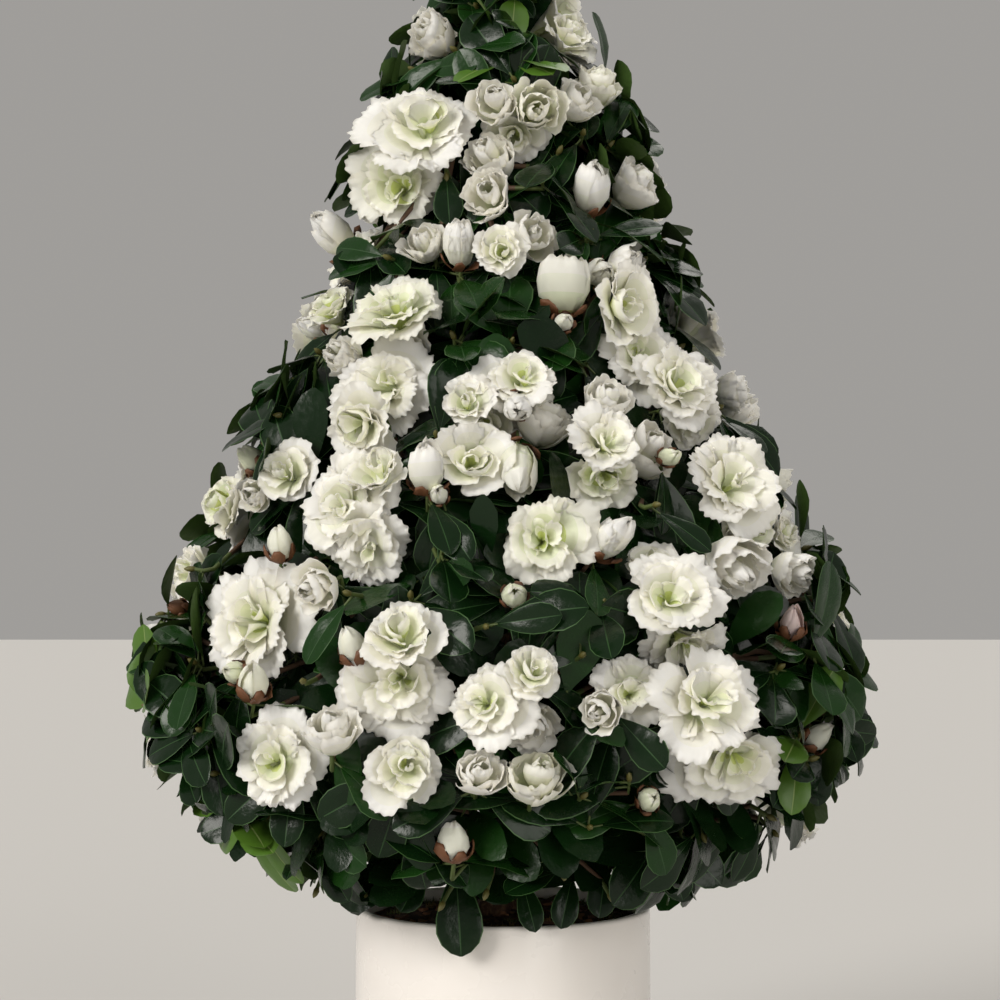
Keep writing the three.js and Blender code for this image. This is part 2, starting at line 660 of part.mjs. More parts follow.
// The rings of a flower, from just past the twig's end to its middle or tip.
function flowerRings({ point, axis, breadth, stage }, side) {
  const radius = breadth / 2;
  const at = (height) => point.clone().addScaledVector(axis, height * breadth);
  if (stage === FULL || stage === OPEN) {
    const lobed = ringAt(at(stage.depth), axis, radius, stage.petals * 2, side).map((p, i) =>
      i % 2 ? p.lerp(at(stage.depth - NOTCH_DROP), NOTCH_IN) : p,
    );
    return [lobed, [at(stage.depth + CROWN_RISE)]];
  }
  if (stage === HALF) return [ringAt(at(0.92), axis, radius, 5, side), [at(0.68)]];
  return [ringAt(at(0.75), axis, radius, 4, side), [at(1.5)]];
}

function flowerBalls({ point, axis, breadth, stage }, size) {
  const span = breadth * size;
  const at = (height) => point.clone().addScaledVector(axis, height * span);
  if (stage !== FULL && stage !== OPEN) {
    return BUD_SPOTS.map((height) => ({ centre: at(height), radius: span * 0.45 }));
  }
  const side = new THREE.Vector3().crossVectors(axis, UP);
  const ring = ringAt(at(stage.depth * 0.85), axis, span * 0.36, 8, side);
  return [
    { centre: at(stage.depth), radius: span * 0.28 },
    { centre: at(stage.depth * 0.45), radius: span * 0.2 },
    ...ring.map((centre) => ({ centre, radius: span * 0.16 })),
  ];
}

// Taken space: balls, each with the twig end that it belongs to.
const taken = [];

function meetsLimb({ centre, radius }) {
  const reach = Math.hypot(centre.x, centre.y);
  const inPot = reach < POT_RADIUS + radius && centre.z < POT_HEIGHT + radius;
  return inPot || (centre.z < STEM_TOP && reach < STEM_CLEAR + radius);
}

// Another mass is kept well clear of. Twig ends of the same mass may come closer to each other.
function meets(balls, end, sameMassShare) {
  return balls.some(
    (ball) =>
      meetsLimb(ball) ||
      masses.some((mass) =>
        mass === end.mass
          ? coreMeasure(mass, ball.centre) < 1 && ball.free
          : coreMeasure(mass, ball.centre, CORE_CLEAR) < 1,
      ) ||
      taken.some((other) => {
        if (other.end === end) return false;
        const share = other.end.mass === end.mass ? sameMassShare : 1;
        return other.centre.distanceTo(ball.centre) < (other.radius + ball.radius) * share;
      }),
  );
}

function take(balls, end) {
  balls.forEach((ball) => taken.push({ ...ball, end }));
}

// The leaves of one twig end: one at most on each side of it. Of several ways to turn the end,
// the one that lets the most leaves stand free is kept.
function growLeaves(end, random) {
  const level = new THREE.Vector3().crossVectors(end.axis, UP);
  if (level.lengthSq() < 1e-3) level.set(1, 0, 0);
  end.leaves = [];
  end.side = level.normalize();
  for (let turn = 0; turn < END_TURNS; turn++) {
    const side = level.clone().applyAxisAngle(end.axis, turn * radians(GOLDEN_ANGLE));
    const leaves = leavesAround(end, side, random);
    if (count(leaves) > count(end.leaves)) Object.assign(end, { leaves, side });
  }
  take(end.leaves.flatMap((leaf) => (leaf ? leafBalls(leaf) : [])), end);
}

const count = (leaves) => leaves.filter(Boolean).length;

function leavesAround(end, side, random) {
  const hanging = end.point.z < SKIRT_HANG;
  const longest = LEAF_LENGTH * (hanging ? SKIRT_LEAF : 1);
  const [low] = endRings(end, side);
  return low.map((corner, i) => {
    const next = low[(i + 1) % low.length];
    const across = next.clone().sub(corner).normalize();
    const out = new THREE.Vector3().crossVectors(across, end.axis);
    const base = corner.clone().lerp(next, 0.5).addScaledVector(end.axis, END_HEIGHT / 2);
    for (let tries = 0; tries < LEAF_TRIES; tries++) {
      const open = radians(end.open + OPEN_SPREAD * random());
      const along = end.axis
        .clone()
        .multiplyScalar(Math.cos(open))
        .addScaledVector(out, Math.sin(open))
        .addScaledVector(across, LEAF_STRAY * (random() - 0.5))
        .addScaledVector(UP, hanging ? -HANG : -LEAF_DROOP)
        .normalize();
      const leaf = makeLeaf(base, along, across, longest * (LEAF_SHORTEST + LEAF_SPREAD * random()));
      const balls = leafBalls(leaf);
      const bent = along.dot(out) < SMALLEST_BEND;
      if (!bent && !balls.some(isOutside) && !meets(balls, end, LEAF_SQUEEZE)) return leaf;
    }
    return null;
  });
}

function isOutside({ centre }) {
  const reach = Math.hypot(centre.x, centre.y);
  return reach > crownRadius(centre.z) + 5 || centre.z < LOWEST_LEAF || centre.z > CROWN_TOP;
}

// Everything is set out first, so that no mass enters another's space.

const stemSleeve = stemSolid(CLEARANCE);
const flowerEnds = [...FRONT_FLOWERS.map(flowerEnd), ...sideFlowerEnds()].filter(
  (end) => end.breadth >= SMALLEST_BREADTH,
);
const allEnds = [...flowerEnds, ...shootEnds(flowerEnds)];

for (const mass of masses) {
  mass.ends = allEnds.filter((end) => end.mass === mass);
  mass.twigs = growTwigs(mass, mass.ends);
  for (const { from, fork, end } of mass.twigs) {
    const line = new THREE.CatmullRomCurve3([from, fork, end.point]);
    const steps = Math.ceil(from.distanceTo(end.point) / TWIG_BALL_STEP);
    take(line.getPoints(steps).map((centre) => ({ centre, radius: END_RADIUS })), end);
  }
}

// Big flowers choose first. One that would meet its neighbours is made smaller until it is clear.
for (const end of [...flowerEnds].sort((a, b) => b.breadth - a.breadth)) {
  const fits = FLOWER_SIZES.find((size) => !meets(flowerBalls(end, size), end, FLOWER_SQUEEZE));
  end.flower = fits ? { ...end, breadth: end.breadth * fits } : null;
  if (fits) take(flowerBalls(end, fits), end);
}

const leafRandom = seeded(31);
for (const end of allEnds) growLeaves(end, leafRandom);

// The stem of a mass starts just clear of its bough, or of the trunk's tip.
function massStem(mass) {
  const tip = mass === topMass ? stemPoint(STEM_TOP) : mass.bough.getPoint(1);
  const along = mass === topMass ? UP.clone() : mass.bough.getTangent(1).normalize();
  const radius = mass === topMass ? STEM_RADIUS_TOP : mass.boughRadius * BOUGH_TIP_SHARE;
  const start = tip.clone().addScaledVector(along, CLEARANCE);
  const bend = start.clone().addScaledVector(along, MASS_STEM_BEND);
  return limb([start, bend, mass.root], [radius, radius * 0.8, TWIG_BASE], 4);
}

// Solids that are already in place, each with the mass that it is part of.
const settled = [];

function isClear(solid, mass) {
  const { min, max } = solid.boundingBox();
  return settled.every(({ owner, other, box }) => {
    if (owner === mass) return true;
    const apart = [0, 1, 2].some((k) => box.min[k] > max[k] || box.max[k] < min[k]);
    return apart || solid.intersect(other).isEmpty();
  });
}

function settle(other, owner = null) {
  settled.push({ owner, other, box: other.boundingBox() });
  return other;
}

// A twig that would touch another mass or a limb loses its leaves, or else is left out. So is a
// twig that carries nothing.
function clearTwig({ from, fork, end }, mass) {
  const ways = [end, { ...end, leaves: [] }].filter((way) => way.flower || count(way.leaves));
  return ways
    .map((way) => twigSolid({ from, fork, end: way }))
    .find((solid) => isClear(solid, mass));
}

function massSolid(mass) {
  const twigs = mass.twigs.map((twig) => clearTwig(twig, mass)).filter(Boolean);
  return fused([mass.stem, mass.core, ...twigs]);
}

const GLAZE = new THREE.MeshStandardMaterial({ color: 0xf0ecea, roughness: 0.25, metalness: 0 });
const COMPOST = new THREE.MeshStandardMaterial({ color: 0x3a241a, roughness: 1, metalness: 0 });
const BARK = new THREE.MeshStandardMaterial({ color: 0x5a4232, roughness: 0.9, metalness: 0 });
const LEAF = new THREE.MeshStandardMaterial({ color: 0x24421f, roughness: 0.4, metalness: 0 });

const azalea = new THREE.Group();

function add(name, solid, material) {
  const mesh = new THREE.Mesh(geometryOf(solid), material);
  mesh.name = name;
  azalea.add(mesh);
}

add("pot", settle(potSolid()), GLAZE);
add("root_ball", settle(rootBallSolid()), COMPOST);
add("trunk", settle(stemSolid()), BARK);
for (const mass of masses.filter(({ bough }) => bough)) {
  add("bough_" + mass.name, settle(boughSolid(mass)), BARK);
}
for (const mass of masses) {
  mass.stem = settle(massStem(mass), mass);
  mass.core = settle(coreSolid(mass), mass);
}
for (const mass of masses) {
  add("foliage_" + mass.name, settle(massSolid(mass), mass), LEAF);
}

export default azalea;
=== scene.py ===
import itertools
import math

import bmesh
import bpy
import numpy as np
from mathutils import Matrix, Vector, noise


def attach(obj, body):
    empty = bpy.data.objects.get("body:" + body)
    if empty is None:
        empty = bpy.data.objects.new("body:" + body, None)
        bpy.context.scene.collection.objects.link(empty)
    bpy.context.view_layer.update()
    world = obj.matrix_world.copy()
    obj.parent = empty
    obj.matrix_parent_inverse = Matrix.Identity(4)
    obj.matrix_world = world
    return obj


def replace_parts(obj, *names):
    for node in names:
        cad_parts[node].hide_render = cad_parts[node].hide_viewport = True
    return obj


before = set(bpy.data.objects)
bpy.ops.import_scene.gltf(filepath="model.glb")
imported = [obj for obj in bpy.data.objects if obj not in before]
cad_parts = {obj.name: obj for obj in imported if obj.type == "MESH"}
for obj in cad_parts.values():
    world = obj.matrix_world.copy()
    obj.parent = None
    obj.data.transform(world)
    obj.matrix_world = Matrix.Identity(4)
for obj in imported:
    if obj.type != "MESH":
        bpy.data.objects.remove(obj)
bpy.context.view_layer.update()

# The pot is a thrown stoneware cylinder with a rounded lip, dipped in a plain warm white glaze.
# The glaze is satin and stops at a bare foot ring that the pot stands on.
MM = 0.001  # lengths are in millimetres, and this makes them metres
POT_RADIUS = 80
POT_HEIGHT = 158
POT_WALL = 5
POT_FLOOR = 7
POT_SIDES = 128
LIP_ROUND = 2.2
FOOT_ROUND = 3
FOOT_RING = 9
FOOT_RECESS = 1.5
GLAZE_MOTTLE = 38  # width of the faint clouds in the glaze
GLAZE_RIPPLE = 9
CLOUD_FROM = 0.3  # noise is mostly between this and CLOUD_SPAN more
CLOUD_SPAN = 0.4


def colour(code):
    """An sRGB hex value as linear red, green, blue and alpha."""
    parts = [(code >> shift & 255) / 255 for shift in (16, 8, 0)]
    linear = [p / 12.92 if p <= 0.04045 else ((p + 0.055) / 1.055) ** 2.4 for p in parts]
    return (*linear, 1)


def finish_named(name):
    """A new material, with its tree and its Principled shader."""
    material = bpy.data.materials.new(name)
    material.use_nodes = True
    return material, material.node_tree, material.node_tree.nodes["Principled BSDF"]


def fill(tree, node, sockets):
    """Gives each socket of a node a value, or a link from another node's output."""
    for name, value in sockets.items():
        if isinstance(value, bpy.types.NodeSocket):
            tree.links.new(value, node.inputs[name])
        else:
            node.inputs[name].default_value = value


def put(tree, kind, output, **sockets):
    """The named output of a new node, whose sockets are named with _ in place of a space."""
    node = tree.nodes.new("ShaderNode" + kind)
    fill(tree, node, {name.replace("_", " "): value for name, value in sockets.items()})
    return node.outputs[output]


def clouds(tree, width, detail=4, stretch=(1, 1, 1)):
    """Noise whose clouds are about this many millimetres wide."""
    place = put(tree, "TexCoord", "Object")
    laid = put(tree, "Mapping", "Vector", Vector=place, Scale=stretch)
    return put(tree, "TexNoise", "Fac", Vector=laid, Scale=1 / (width * MM), Detail=detail)


def between(tree, share, low, high):
    """A number that runs from low to high as the share does over its middle."""
    ends = {"From_Min": CLOUD_FROM, "From_Max": CLOUD_FROM + CLOUD_SPAN}
    return put(tree, "MapRange", "Result", Value=share, To_Min=low, To_Max=high, **ends)


def shade_between(tree, share, *codes):
    """A colour that runs through these as the share does over its middle."""
    shade = put(tree, "ValToRGB", "Color", Fac=share)
    stops = shade.node.color_ramp.elements
    while len(stops) < len(codes):
        stops.new(0.5)
    for i, (stop, code) in enumerate(zip(stops, codes)):
        stop.position = CLOUD_FROM + CLOUD_SPAN * i / (len(codes) - 1)
        stop.color = colour(code)
    return shade


def relief(tree, share, height):
    """A normal for relief this many millimetres high."""
    return put(tree, "Bump", "Normal", Height=share, Distance=height * MM)


# Stoneware under a tin white glaze: hard, satin, with soft wide highlights and faint clouds.
glaze, tree, shader = finish_named("satin white tin glaze")
mottle = clouds(tree, GLAZE_MOTTLE)
fill(tree, shader, {
    "Base Color": shade_between(tree, mottle, 0xECE6E0, 0xEFEAE5),
    "Roughness": between(tree, mottle, 0.34, 0.22),
    "Normal": relief(tree, clouds(tree, GLAZE_RIPPLE, detail=1), 0.05),
    "IOR": 1.52,
    "Coat Weight": 0.2,
    "Coat Roughness": 0.12,
})  # fmt: skip

# The same clay fired bare: dry, matt and a little sandy.
biscuit, tree, shader = finish_named("bare stoneware")
grit = clouds(tree, 1.2)
fill(tree, shader, {
    "Base Color": shade_between(tree, grit, 0xB5A288, 0xC9B79E),
    "Roughness": 0.85,
    "Normal": relief(tree, grit, 0.1),
})  # fmt: skip


def cylinder(name, radius, low, high, sides):
    """An upright cylinder from one height to another, in edit mode."""
    bpy.ops.object.select_all(action="DESELECT")
    bpy.ops.mesh.primitive_cylinder_add(
        vertices=sides,
        radius=radius * MM,
        depth=(high - low) * MM,
        location=(0, 0, (high + low) * MM / 2),
    )
    thing = bpy.context.active_object
    thing.name = name
    bpy.ops.object.transform_apply(location=True, rotation=False, scale=False)
    bpy.ops.object.mode_set(mode="EDIT")
    return thing


def choose(thing, kind, wanted):
    """In edit mode, leaves selected only the faces or edges that are wanted."""
    bpy.ops.mesh.select_all(action="DESELECT")
    net = bmesh.from_edit_mesh(thing.data)
    for part in getattr(net, kind):
        part.select_set(wanted(part))
    bmesh.update_edit_mesh(thing.data)


def edge_lies_at(edge, height, beyond=0):
    """True for an edge that lies level at a height, more than so far from the pot's middle."""
    level = all(abs(end.co.z - height * MM) < 1e-5 for end in edge.verts)
    return level and edge.verts[0].co.xy.length >= beyond * MM


pot = cylinder("glazed_pot", POT_RADIUS, 0, POT_HEIGHT, POT_SIDES)
choose(pot, "faces", lambda face: face.normal.z > 0.9)
bpy.ops.mesh.inset(thickness=POT_WALL * MM)
bpy.ops.mesh.extrude_region_move(
    TRANSFORM_OT_translate={"value": (0, 0, (POT_FLOOR - POT_HEIGHT) * MM)}
)
choose(pot, "faces", lambda face: face.normal.z < -0.9)
bpy.ops.mesh.inset(thickness=FOOT_RING * MM)
bpy.ops.mesh.extrude_region_move(TRANSFORM_OT_translate={"value": (0, 0, FOOT_RECESS * MM)})
choose(pot, "edges", lambda edge: edge_lies_at(edge, POT_HEIGHT))
bpy.ops.mesh.bevel(offset=LIP_ROUND * MM, segments=5, profile=0.5, affect="EDGES")
choose(pot, "edges", lambda edge: edge_lies_at(edge, 0, POT_RADIUS - 1))
bpy.ops.mesh.bevel(offset=FOOT_ROUND * MM, segments=4, profile=0.5, affect="EDGES")
bpy.ops.mesh.select_all(action="SELECT")
bpy.ops.mesh.normals_make_consistent(inside=False)
bpy.ops.object.mode_set(mode="OBJECT")
bpy.ops.object.shade_smooth_by_angle(angle=math.radians(35))
pot.data.materials.append(glaze)
pot.data.materials.append(biscuit)
for face in pot.data.polygons:
    face.material_index = int(face.center.z < (FOOT_RECESS + 0.1) * MM and face.normal.z < -0.5)
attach(pot, "root")
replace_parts(pot, "pot")

# The root ball fills the pot: damp peat compost, crumbled and mounded a little round the stem,
# with chips of composted bark and some moss lying on it.
SOIL_RADIUS = POT_RADIUS - POT_WALL - 0.6
SOIL_BOTTOM = POT_FLOOR + 0.3
SOIL_AT_WALL = 151
SOIL_AT_STEM = 156
SOIL_SIDES = 110
SOIL_RINGS = 25
SOIL_SINK = 0.6
GLOSS_SPREAD = 0.06  # how far roughness strays from a surface's own
CRUMB = 5.5  # width of a crumb of compost
CRUMB_HEIGHT = 1.6
CHIPS = 190
TUFTS = 46
BLADES = 16


def seeded(seed):
    """A seeded run of numbers from 0 to 1, the same one that the plant's solids grow by."""
    state = seed
    while True:
        state = state * 16807 % 2147483647
        yield state / 2147483647


def soil_height(x, y):
    """The compost's height at a place, with its crumbs."""
    share = min(1, math.hypot(x, y) / SOIL_RADIUS)
    mound = SOIL_AT_STEM + (SOIL_AT_WALL - SOIL_AT_STEM) * share**2
    crumbs = noise.fractal(Vector((x, y, 7)) / CRUMB, 1.0, 2.1, 3)
    return mound + CRUMB_HEIGHT * crumbs - SOIL_SINK


soil = cylinder("compost", SOIL_RADIUS, SOIL_BOTTOM, SOIL_AT_WALL, SOIL_SIDES)
choose(soil, "faces", lambda face: face.normal.z > 0.9)
for ring in range(SOIL_RINGS):
    bpy.ops.mesh.inset(thickness=SOIL_RADIUS / (SOIL_RINGS + 1) * MM)
bpy.ops.mesh.poke()
bpy.ops.object.mode_set(mode="OBJECT")
for point in soil.data.vertices:
    if point.co.z > (SOIL_AT_WALL - 1) * MM:
        point.co.z = soil_height(point.co.x / MM, point.co.y / MM) * MM
bpy.ops.object.shade_smooth_by_angle(angle=math.radians(40))

# Peat: dark brown and damp, matt, with paler fibres.
peat, tree, shader = finish_named("damp peat compost")
fill(tree, shader, {
    "Base Color": shade_between(tree, clouds(tree, 4, detail=8), 0x1C100B, 0x38221A, 0x6A4630),
    "Roughness": 0.92,
    "Normal": relief(tree, clouds(tree, 1.5, detail=6), 0.8),
})  # fmt: skip
soil.data.materials.append(peat)
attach(soil, "root")
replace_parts(soil, "root_ball")


class Gathered:
    """Many small things of one kind, gathered into one mesh. Points are in millimetres."""

    def __init__(self):
        self.points, self.faces, self.finishes = [], [], []
        self.count = 0

    def add(self, points, faces, finish):
        """Adds a thing: points, faces as rows of their numbers, and one finish or one each."""
        faces = np.asarray(faces)
        self.points.append(np.asarray(points, float))
        self.faces.append(faces + self.count)
        self.finishes.append(np.broadcast_to(finish, len(faces)))
        self.count += len(points)

    def made(self, name, materials, slot, smooth=True):
        """The piece, riding on the plant."""
        mesh = bpy.data.meshes.new(name)
        points = np.concatenate(self.points) * MM
        corners = np.concatenate([faces.ravel() for faces in self.faces])
        sides = np.concatenate([np.full(len(faces), faces.shape[1]) for faces in self.faces])
        mesh.vertices.add(len(points))
        mesh.vertices.foreach_set("co", points.ravel())
        mesh.loops.add(len(corners))
        mesh.loops.foreach_set("vertex_index", corners)
        mesh.polygons.add(len(sides))
        mesh.polygons.foreach_set("loop_start", np.cumsum(sides) - sides)
        for material in materials:
            mesh.materials.append(material)
        finishes = np.concatenate(self.finishes).astype(np.int32)
        mesh.polygons.foreach_set("material_index", finishes)
        mesh.polygons.foreach_set("use_smooth", np.full(len(sides), smooth))
        mesh.update(calc_edges=True)
        piece = bpy.data.objects.new(name, mesh)
        bpy.context.scene.collection.objects.link(piece)
        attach(piece, "root")
        return piece


def plain(name, code, roughness, grain=3.0, height=0.1, sheen=0.5):
    """A living surface in one plain colour, with its gloss and its fine relief from its grain."""
    material, tree, shader = finish_named(name)
    share = clouds(tree, grain)
    fill(tree, shader, {
        "Base Color": colour(code),
        "Specular IOR Level": sheen,
        "Roughness": between(tree, share, roughness - GLOSS_SPREAD, roughness + GLOSS_SPREAD),
        "Normal": relief(tree, share, height),
    })  # fmt: skip
    return material


BOX = [(0, 2, 3, 1), (4, 5, 7, 6), (0, 1, 5, 4), (2, 6, 7, 3), (0, 4, 6, 2), (1, 3, 7, 5)]

# Chips of pine bark are split along the grain: flat, angular, dark outside and tan where fresh.
chips = Gathered()
draw = seeded(83)
for _ in range(CHIPS):
    turn, reach = 2 * math.pi * next(draw), SOIL_RADIUS * (0.16 + 0.8 * next(draw) ** 0.6)
    x, y = reach * math.cos(turn), reach * math.sin(turn)
    long, wide, thick = 3 + 8 * next(draw) ** 2, 2 + 2.5 * next(draw), 0.8 + 1.2 * next(draw)
    lie = Vector((0, 0, 1)) + Vector((next(draw) - 0.5, next(draw) - 0.5, 0)) * 0.8
    grain = Vector((math.cos(7 * turn), math.sin(7 * turn), 0)).cross(lie).normalized()
    across = lie.normalized().cross(grain)
    middle = Vector((x, y, soil_height(x, y) + thick * 0.3))
    corners = [
        middle
        + grain * long * (0.5 - i // 4) * (0.7 + 0.5 * next(draw))
        + across * wide * (0.5 - i // 2 % 2) * (0.6 + 0.5 * next(draw))
        + lie.normalized() * thick * (0.5 - i % 2) * (0.7 + 0.4 * next(draw))
        for i in range(8)
    ]
    if all(corner.xy.length < SOIL_RADIUS for corner in corners):
        chips.add(corners, BOX, int(next(draw) * 3))
chip_finishes = [
    plain("dark composted bark", 0x2B1A13, 0.8),
    plain("brown composted bark", 0x4E3122, 0.8),
    plain("fresh split bark", 0x80573B, 0.75),
]
chips.made("bark_chips", chip_finishes, "compost", smooth=False)

# Moss grows in small cushions, of short pointed shoots.
moss = Gathered()
for _ in range(TUFTS):
    turn, reach = 2 * math.pi * next(draw), SOIL_RADIUS * (0.35 + 0.6 * next(draw) ** 0.5)
    tint = int(next(draw) * 2)
    for _ in range(BLADES):
        x = reach * math.cos(turn) + 7 * (next(draw) - 0.5)
        y = reach * math.sin(turn) + 7 * (next(draw) - 0.5)
        foot = Vector((x, y, soil_height(x, y) - 0.3))
        lean = Vector((next(draw) - 0.5, next(draw) - 0.5, 1)).normalized()
        tip = foot + lean * (2 + 2.2 * next(draw))
        side = lean.orthogonal().normalized() * 0.5
        other = lean.cross(side)
        if max(foot.xy.length, tip.xy.length) < SOIL_RADIUS - 1:
            ring = [foot + side, foot - side / 2 + other, foot - side / 2 - other, tip]
            moss.add(ring, [(0, 1, 3), (1, 2, 3), (2, 0, 3), (0, 2, 1)], tint)
moss_finishes = [plain("green moss", 0x4A5220, 0.8), plain("dry moss", 0x6E5B2C, 0.85)]
moss.made("moss", moss_finishes, "compost")

# The stem: brown, fibrous bark with shallow furrows along it, and a flared foot that the
# compost comes up to. It tapers without a break right up into the top of the crown.
STEM_FOOT = SOIL_AT_STEM + 0.3
STEM_TOP = 588
STEM_RADIUS_LOW = 8.5
STEM_RADIUS_TOP = 2.6
FLARE_WIDTH = 8
FLARE_HEIGHT = 8
FLARE_ROOTS = 4
FLARE_RIDGE = 0.45  # how far the flare's ridges rise from it, as a share of its width
STEM_WANDER = 3.5
STEM_SIDES = 40
STEM_STEP = 2.6
STEM_SUNK = 3  # the stem's foot runs down into the compost
FURROW = 0.55  # depth of the bark's furrows on the lower stem
FURROW_LENGTH = 16
UP = np.array([0.0, 0.0, 1.0])


def unit(vector):
    return vector / max(np.linalg.norm(vector), 1e-9)


def sideways(axis):
    """A direction across an axis, also where the axis is straight up."""
    return unit(np.cross(axis, UP + 0.01))


def stem_point(height):
    """Where the stem's middle is at a height: it wanders a little from a straight line."""
    risen = max(0, height - STEM_FOOT)
    x = STEM_WANDER * math.sin(risen / 85)
    return np.array([x, STEM_WANDER * math.sin(risen / 120) * 0.8, height])


def bark_relief(turn, along, radius):
    """Furrows that run along a limb, as a share from -1 to 1."""
    x, y = math.cos(turn) * radius / 2, math.sin(turn) * radius / 2
    place = Vector((x, y, along / FURROW_LENGTH))
    furrows = 1 - 3 * abs(noise.noise(place * 1.4))
    return furrows + 0.5 * noise.noise(place * 4.1)


def limb_rings(path, radii, sides, furrow=0.0):
    """Rings of points round a path, one radius for each point of it."""
    path = np.asarray(path, float)
    tangents = np.gradient(path, axis=0)
    across = sideways(tangents[0])
    rings, run = [], 0
    for i, (middle, tangent, radius) in enumerate(zip(path, tangents, radii)):
        tangent = unit(tangent)
        across = unit(across - tangent * across.dot(tangent))
        other = np.cross(tangent, across)
        run += np.linalg.norm(middle - path[i - 1]) if i else 0
        for k in range(sides):
            turn = 2 * math.pi * k / sides
            reach = radius(turn) if callable(radius) else radius
            if furrow:
                reach += furrow * bark_relief(turn, run, reach)
            rings.append(middle + reach * (math.cos(turn) * across + math.sin(turn) * other))
    return np.array(rings)


def tube_faces(rings, sides):
    """The walls of a tube of rings, as quads."""
    start = np.arange(rings - 1)[:, None] * sides
    side = np.arange(sides)[None, :]
    after = (side + 1) % sides
    walls = [start + side, start + after, start + sides + after, start + sides + side]
    return np.stack([wall.ravel() for wall in walls], axis=1)


def add_tube(gathered, path, radii, sides, finish, furrow=0.0):
    """A limb with both ends closed by a point."""
    points = limb_rings(path, radii, sides, furrow)
    low, high = len(points), len(points) + 1
    points = np.vstack([points, path[0], path[-1]])
    gathered.add(points, tube_faces(len(path), sides), finish)
    caps = []
    last = (len(path) - 1) * sides
    for k in range(sides):
        after = (k + 1) % sides
        caps.append((after, k, low))
        caps.append((last + k, last + after, high))
    gathered.faces.append(np.array(caps) + gathered.count - len(points))
    gathered.finishes.append(np.broadcast_to(finish, len(caps)))


def stem_reach(height):
    """The stem's radius all round at a height, with the ridges of its root flare."""
    share = (height - STEM_FOOT) / (STEM_TOP - STEM_FOOT)
    shaft = STEM_RADIUS_LOW + (STEM_RADIUS_TOP - STEM_RADIUS_LOW) * share
    flare = FLARE_WIDTH * math.exp(-max(0, height - STEM_FOOT) / FLARE_HEIGHT)
    return lambda turn: shaft + flare * (1 + FLARE_RIDGE * math.cos(FLARE_ROOTS * turn))


stem = Gathered()
heights = np.arange(STEM_FOOT - STEM_SUNK, STEM_TOP + STEM_STEP, STEM_STEP)
path = [stem_point(height) + (0, 0, min(0, height - STEM_FOOT)) for height in heights]
add_tube(stem, path, [stem_reach(height) for height in heights], STEM_SIDES, 0, FURROW)

# Old azalea wood: grey-brown and fibrous, dry and matt, redder in the furrows.
old_bark, tree, shader = finish_named("old brown bark")
strands = clouds(tree, 2.6, detail=7, stretch=(1, 1, 0.22))
fill(tree, shader, {
    "Base Color": shade_between(tree, strands, 0x2A1811, 0x553A2A, 0x86694F),
    "Roughness": 0.85,
    "Normal": relief(tree, strands, 0.5),
})  # fmt: skip
stem_piece = stem.made("barked_stem", [old_bark], "bark")
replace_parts(stem_piece, "trunk")

# The boughs leave the stem in five tiers, rise at a slant, and each ends in one mass of the
# crown. Their bark is thinner than the stem's. A swollen collar joins each one to the stem.
OUTLINE = [
    (160, 96), (180, 142), (205, 172), (240, 196), (275, 204), (330, 191), (380, 167),
    (435, 138), (490, 113), (550, 96), (605, 76), (655, 50), (692, 31), (718, 14),
]  # fmt: skip
CROWN_TOP = 718
# Each tier: its name, lowest and highest point, masses, turn in degrees, and boughs' radius.
TIERS = [
    ("skirt", 190, 245, 5, 0, 4.6),
    ("low", 245, 330, 5, 36, 4.6),
    ("middle", 330, 415, 5, -20, 4.2),
    ("high", 415, 500, 4, 30, 3.6),
    ("upper", 500, 588, 3, -32, 3),
]
BOUGH_REACH = 0.4
BOUGH_FALL = 0.62
BOUGH_STEP = 7
LOWEST_BOUGH = 20
BOUGH_KNEE = (0.55, 0.38)  # where a bough bends, as shares of its way out and of its rise
BOUGH_TIP_SHARE = 0.6
BOUGH_TIP_BELOW = 6
ROOT_REACH = 0.56
TOP_ROOT_ABOVE = 36
TWIG_BASE = 1.7
TWIG_END = 1.05
TWIG_SIDES = 5
YOUNG_TWIG = 70  # shorter twigs are green towards their ends
COLLAR = 0.5
COLLAR_LENGTH = 7


def crown_radius(height):
    return float(np.interp(height, *zip(*OUTLINE)))


def outward(angle, lift=0.0):
    """The direction away from the stem at an angle from the front, tilted up from level."""
    turn, rise = math.radians(angle), math.radians(lift)
    level = math.cos(rise)
    return np.array([math.sin(turn) * level, -math.cos(turn) * level, math.sin(rise)])


def place(angle, radius, height):
    return outward(angle) * radius + UP * height


def angle_of(point):
    return math.degrees(math.atan2(point[0], -point[1]))


def wrapped(angle):
    return (angle + 180) % 360 - 180


def curve_through(points, count):
    """A smooth path of this many points through a few given ones."""
    points = np.asarray(points, float)
    padded = np.vstack([2 * points[0] - points[1], points, 2 * points[-1] - points[-2]])
    path = []
    for share in np.linspace(0, len(points) - 1, count):
        i = min(int(share), len(points) - 2)
        t = share - i
        a, b, c, d = padded[i : i + 4]
        path.append(
            b + 0.5 * t * (c - a + t * (2 * a - 5 * b + 4 * c - d + t * (3 * (b - c) + d - a)))
        )
    return np.array(path)


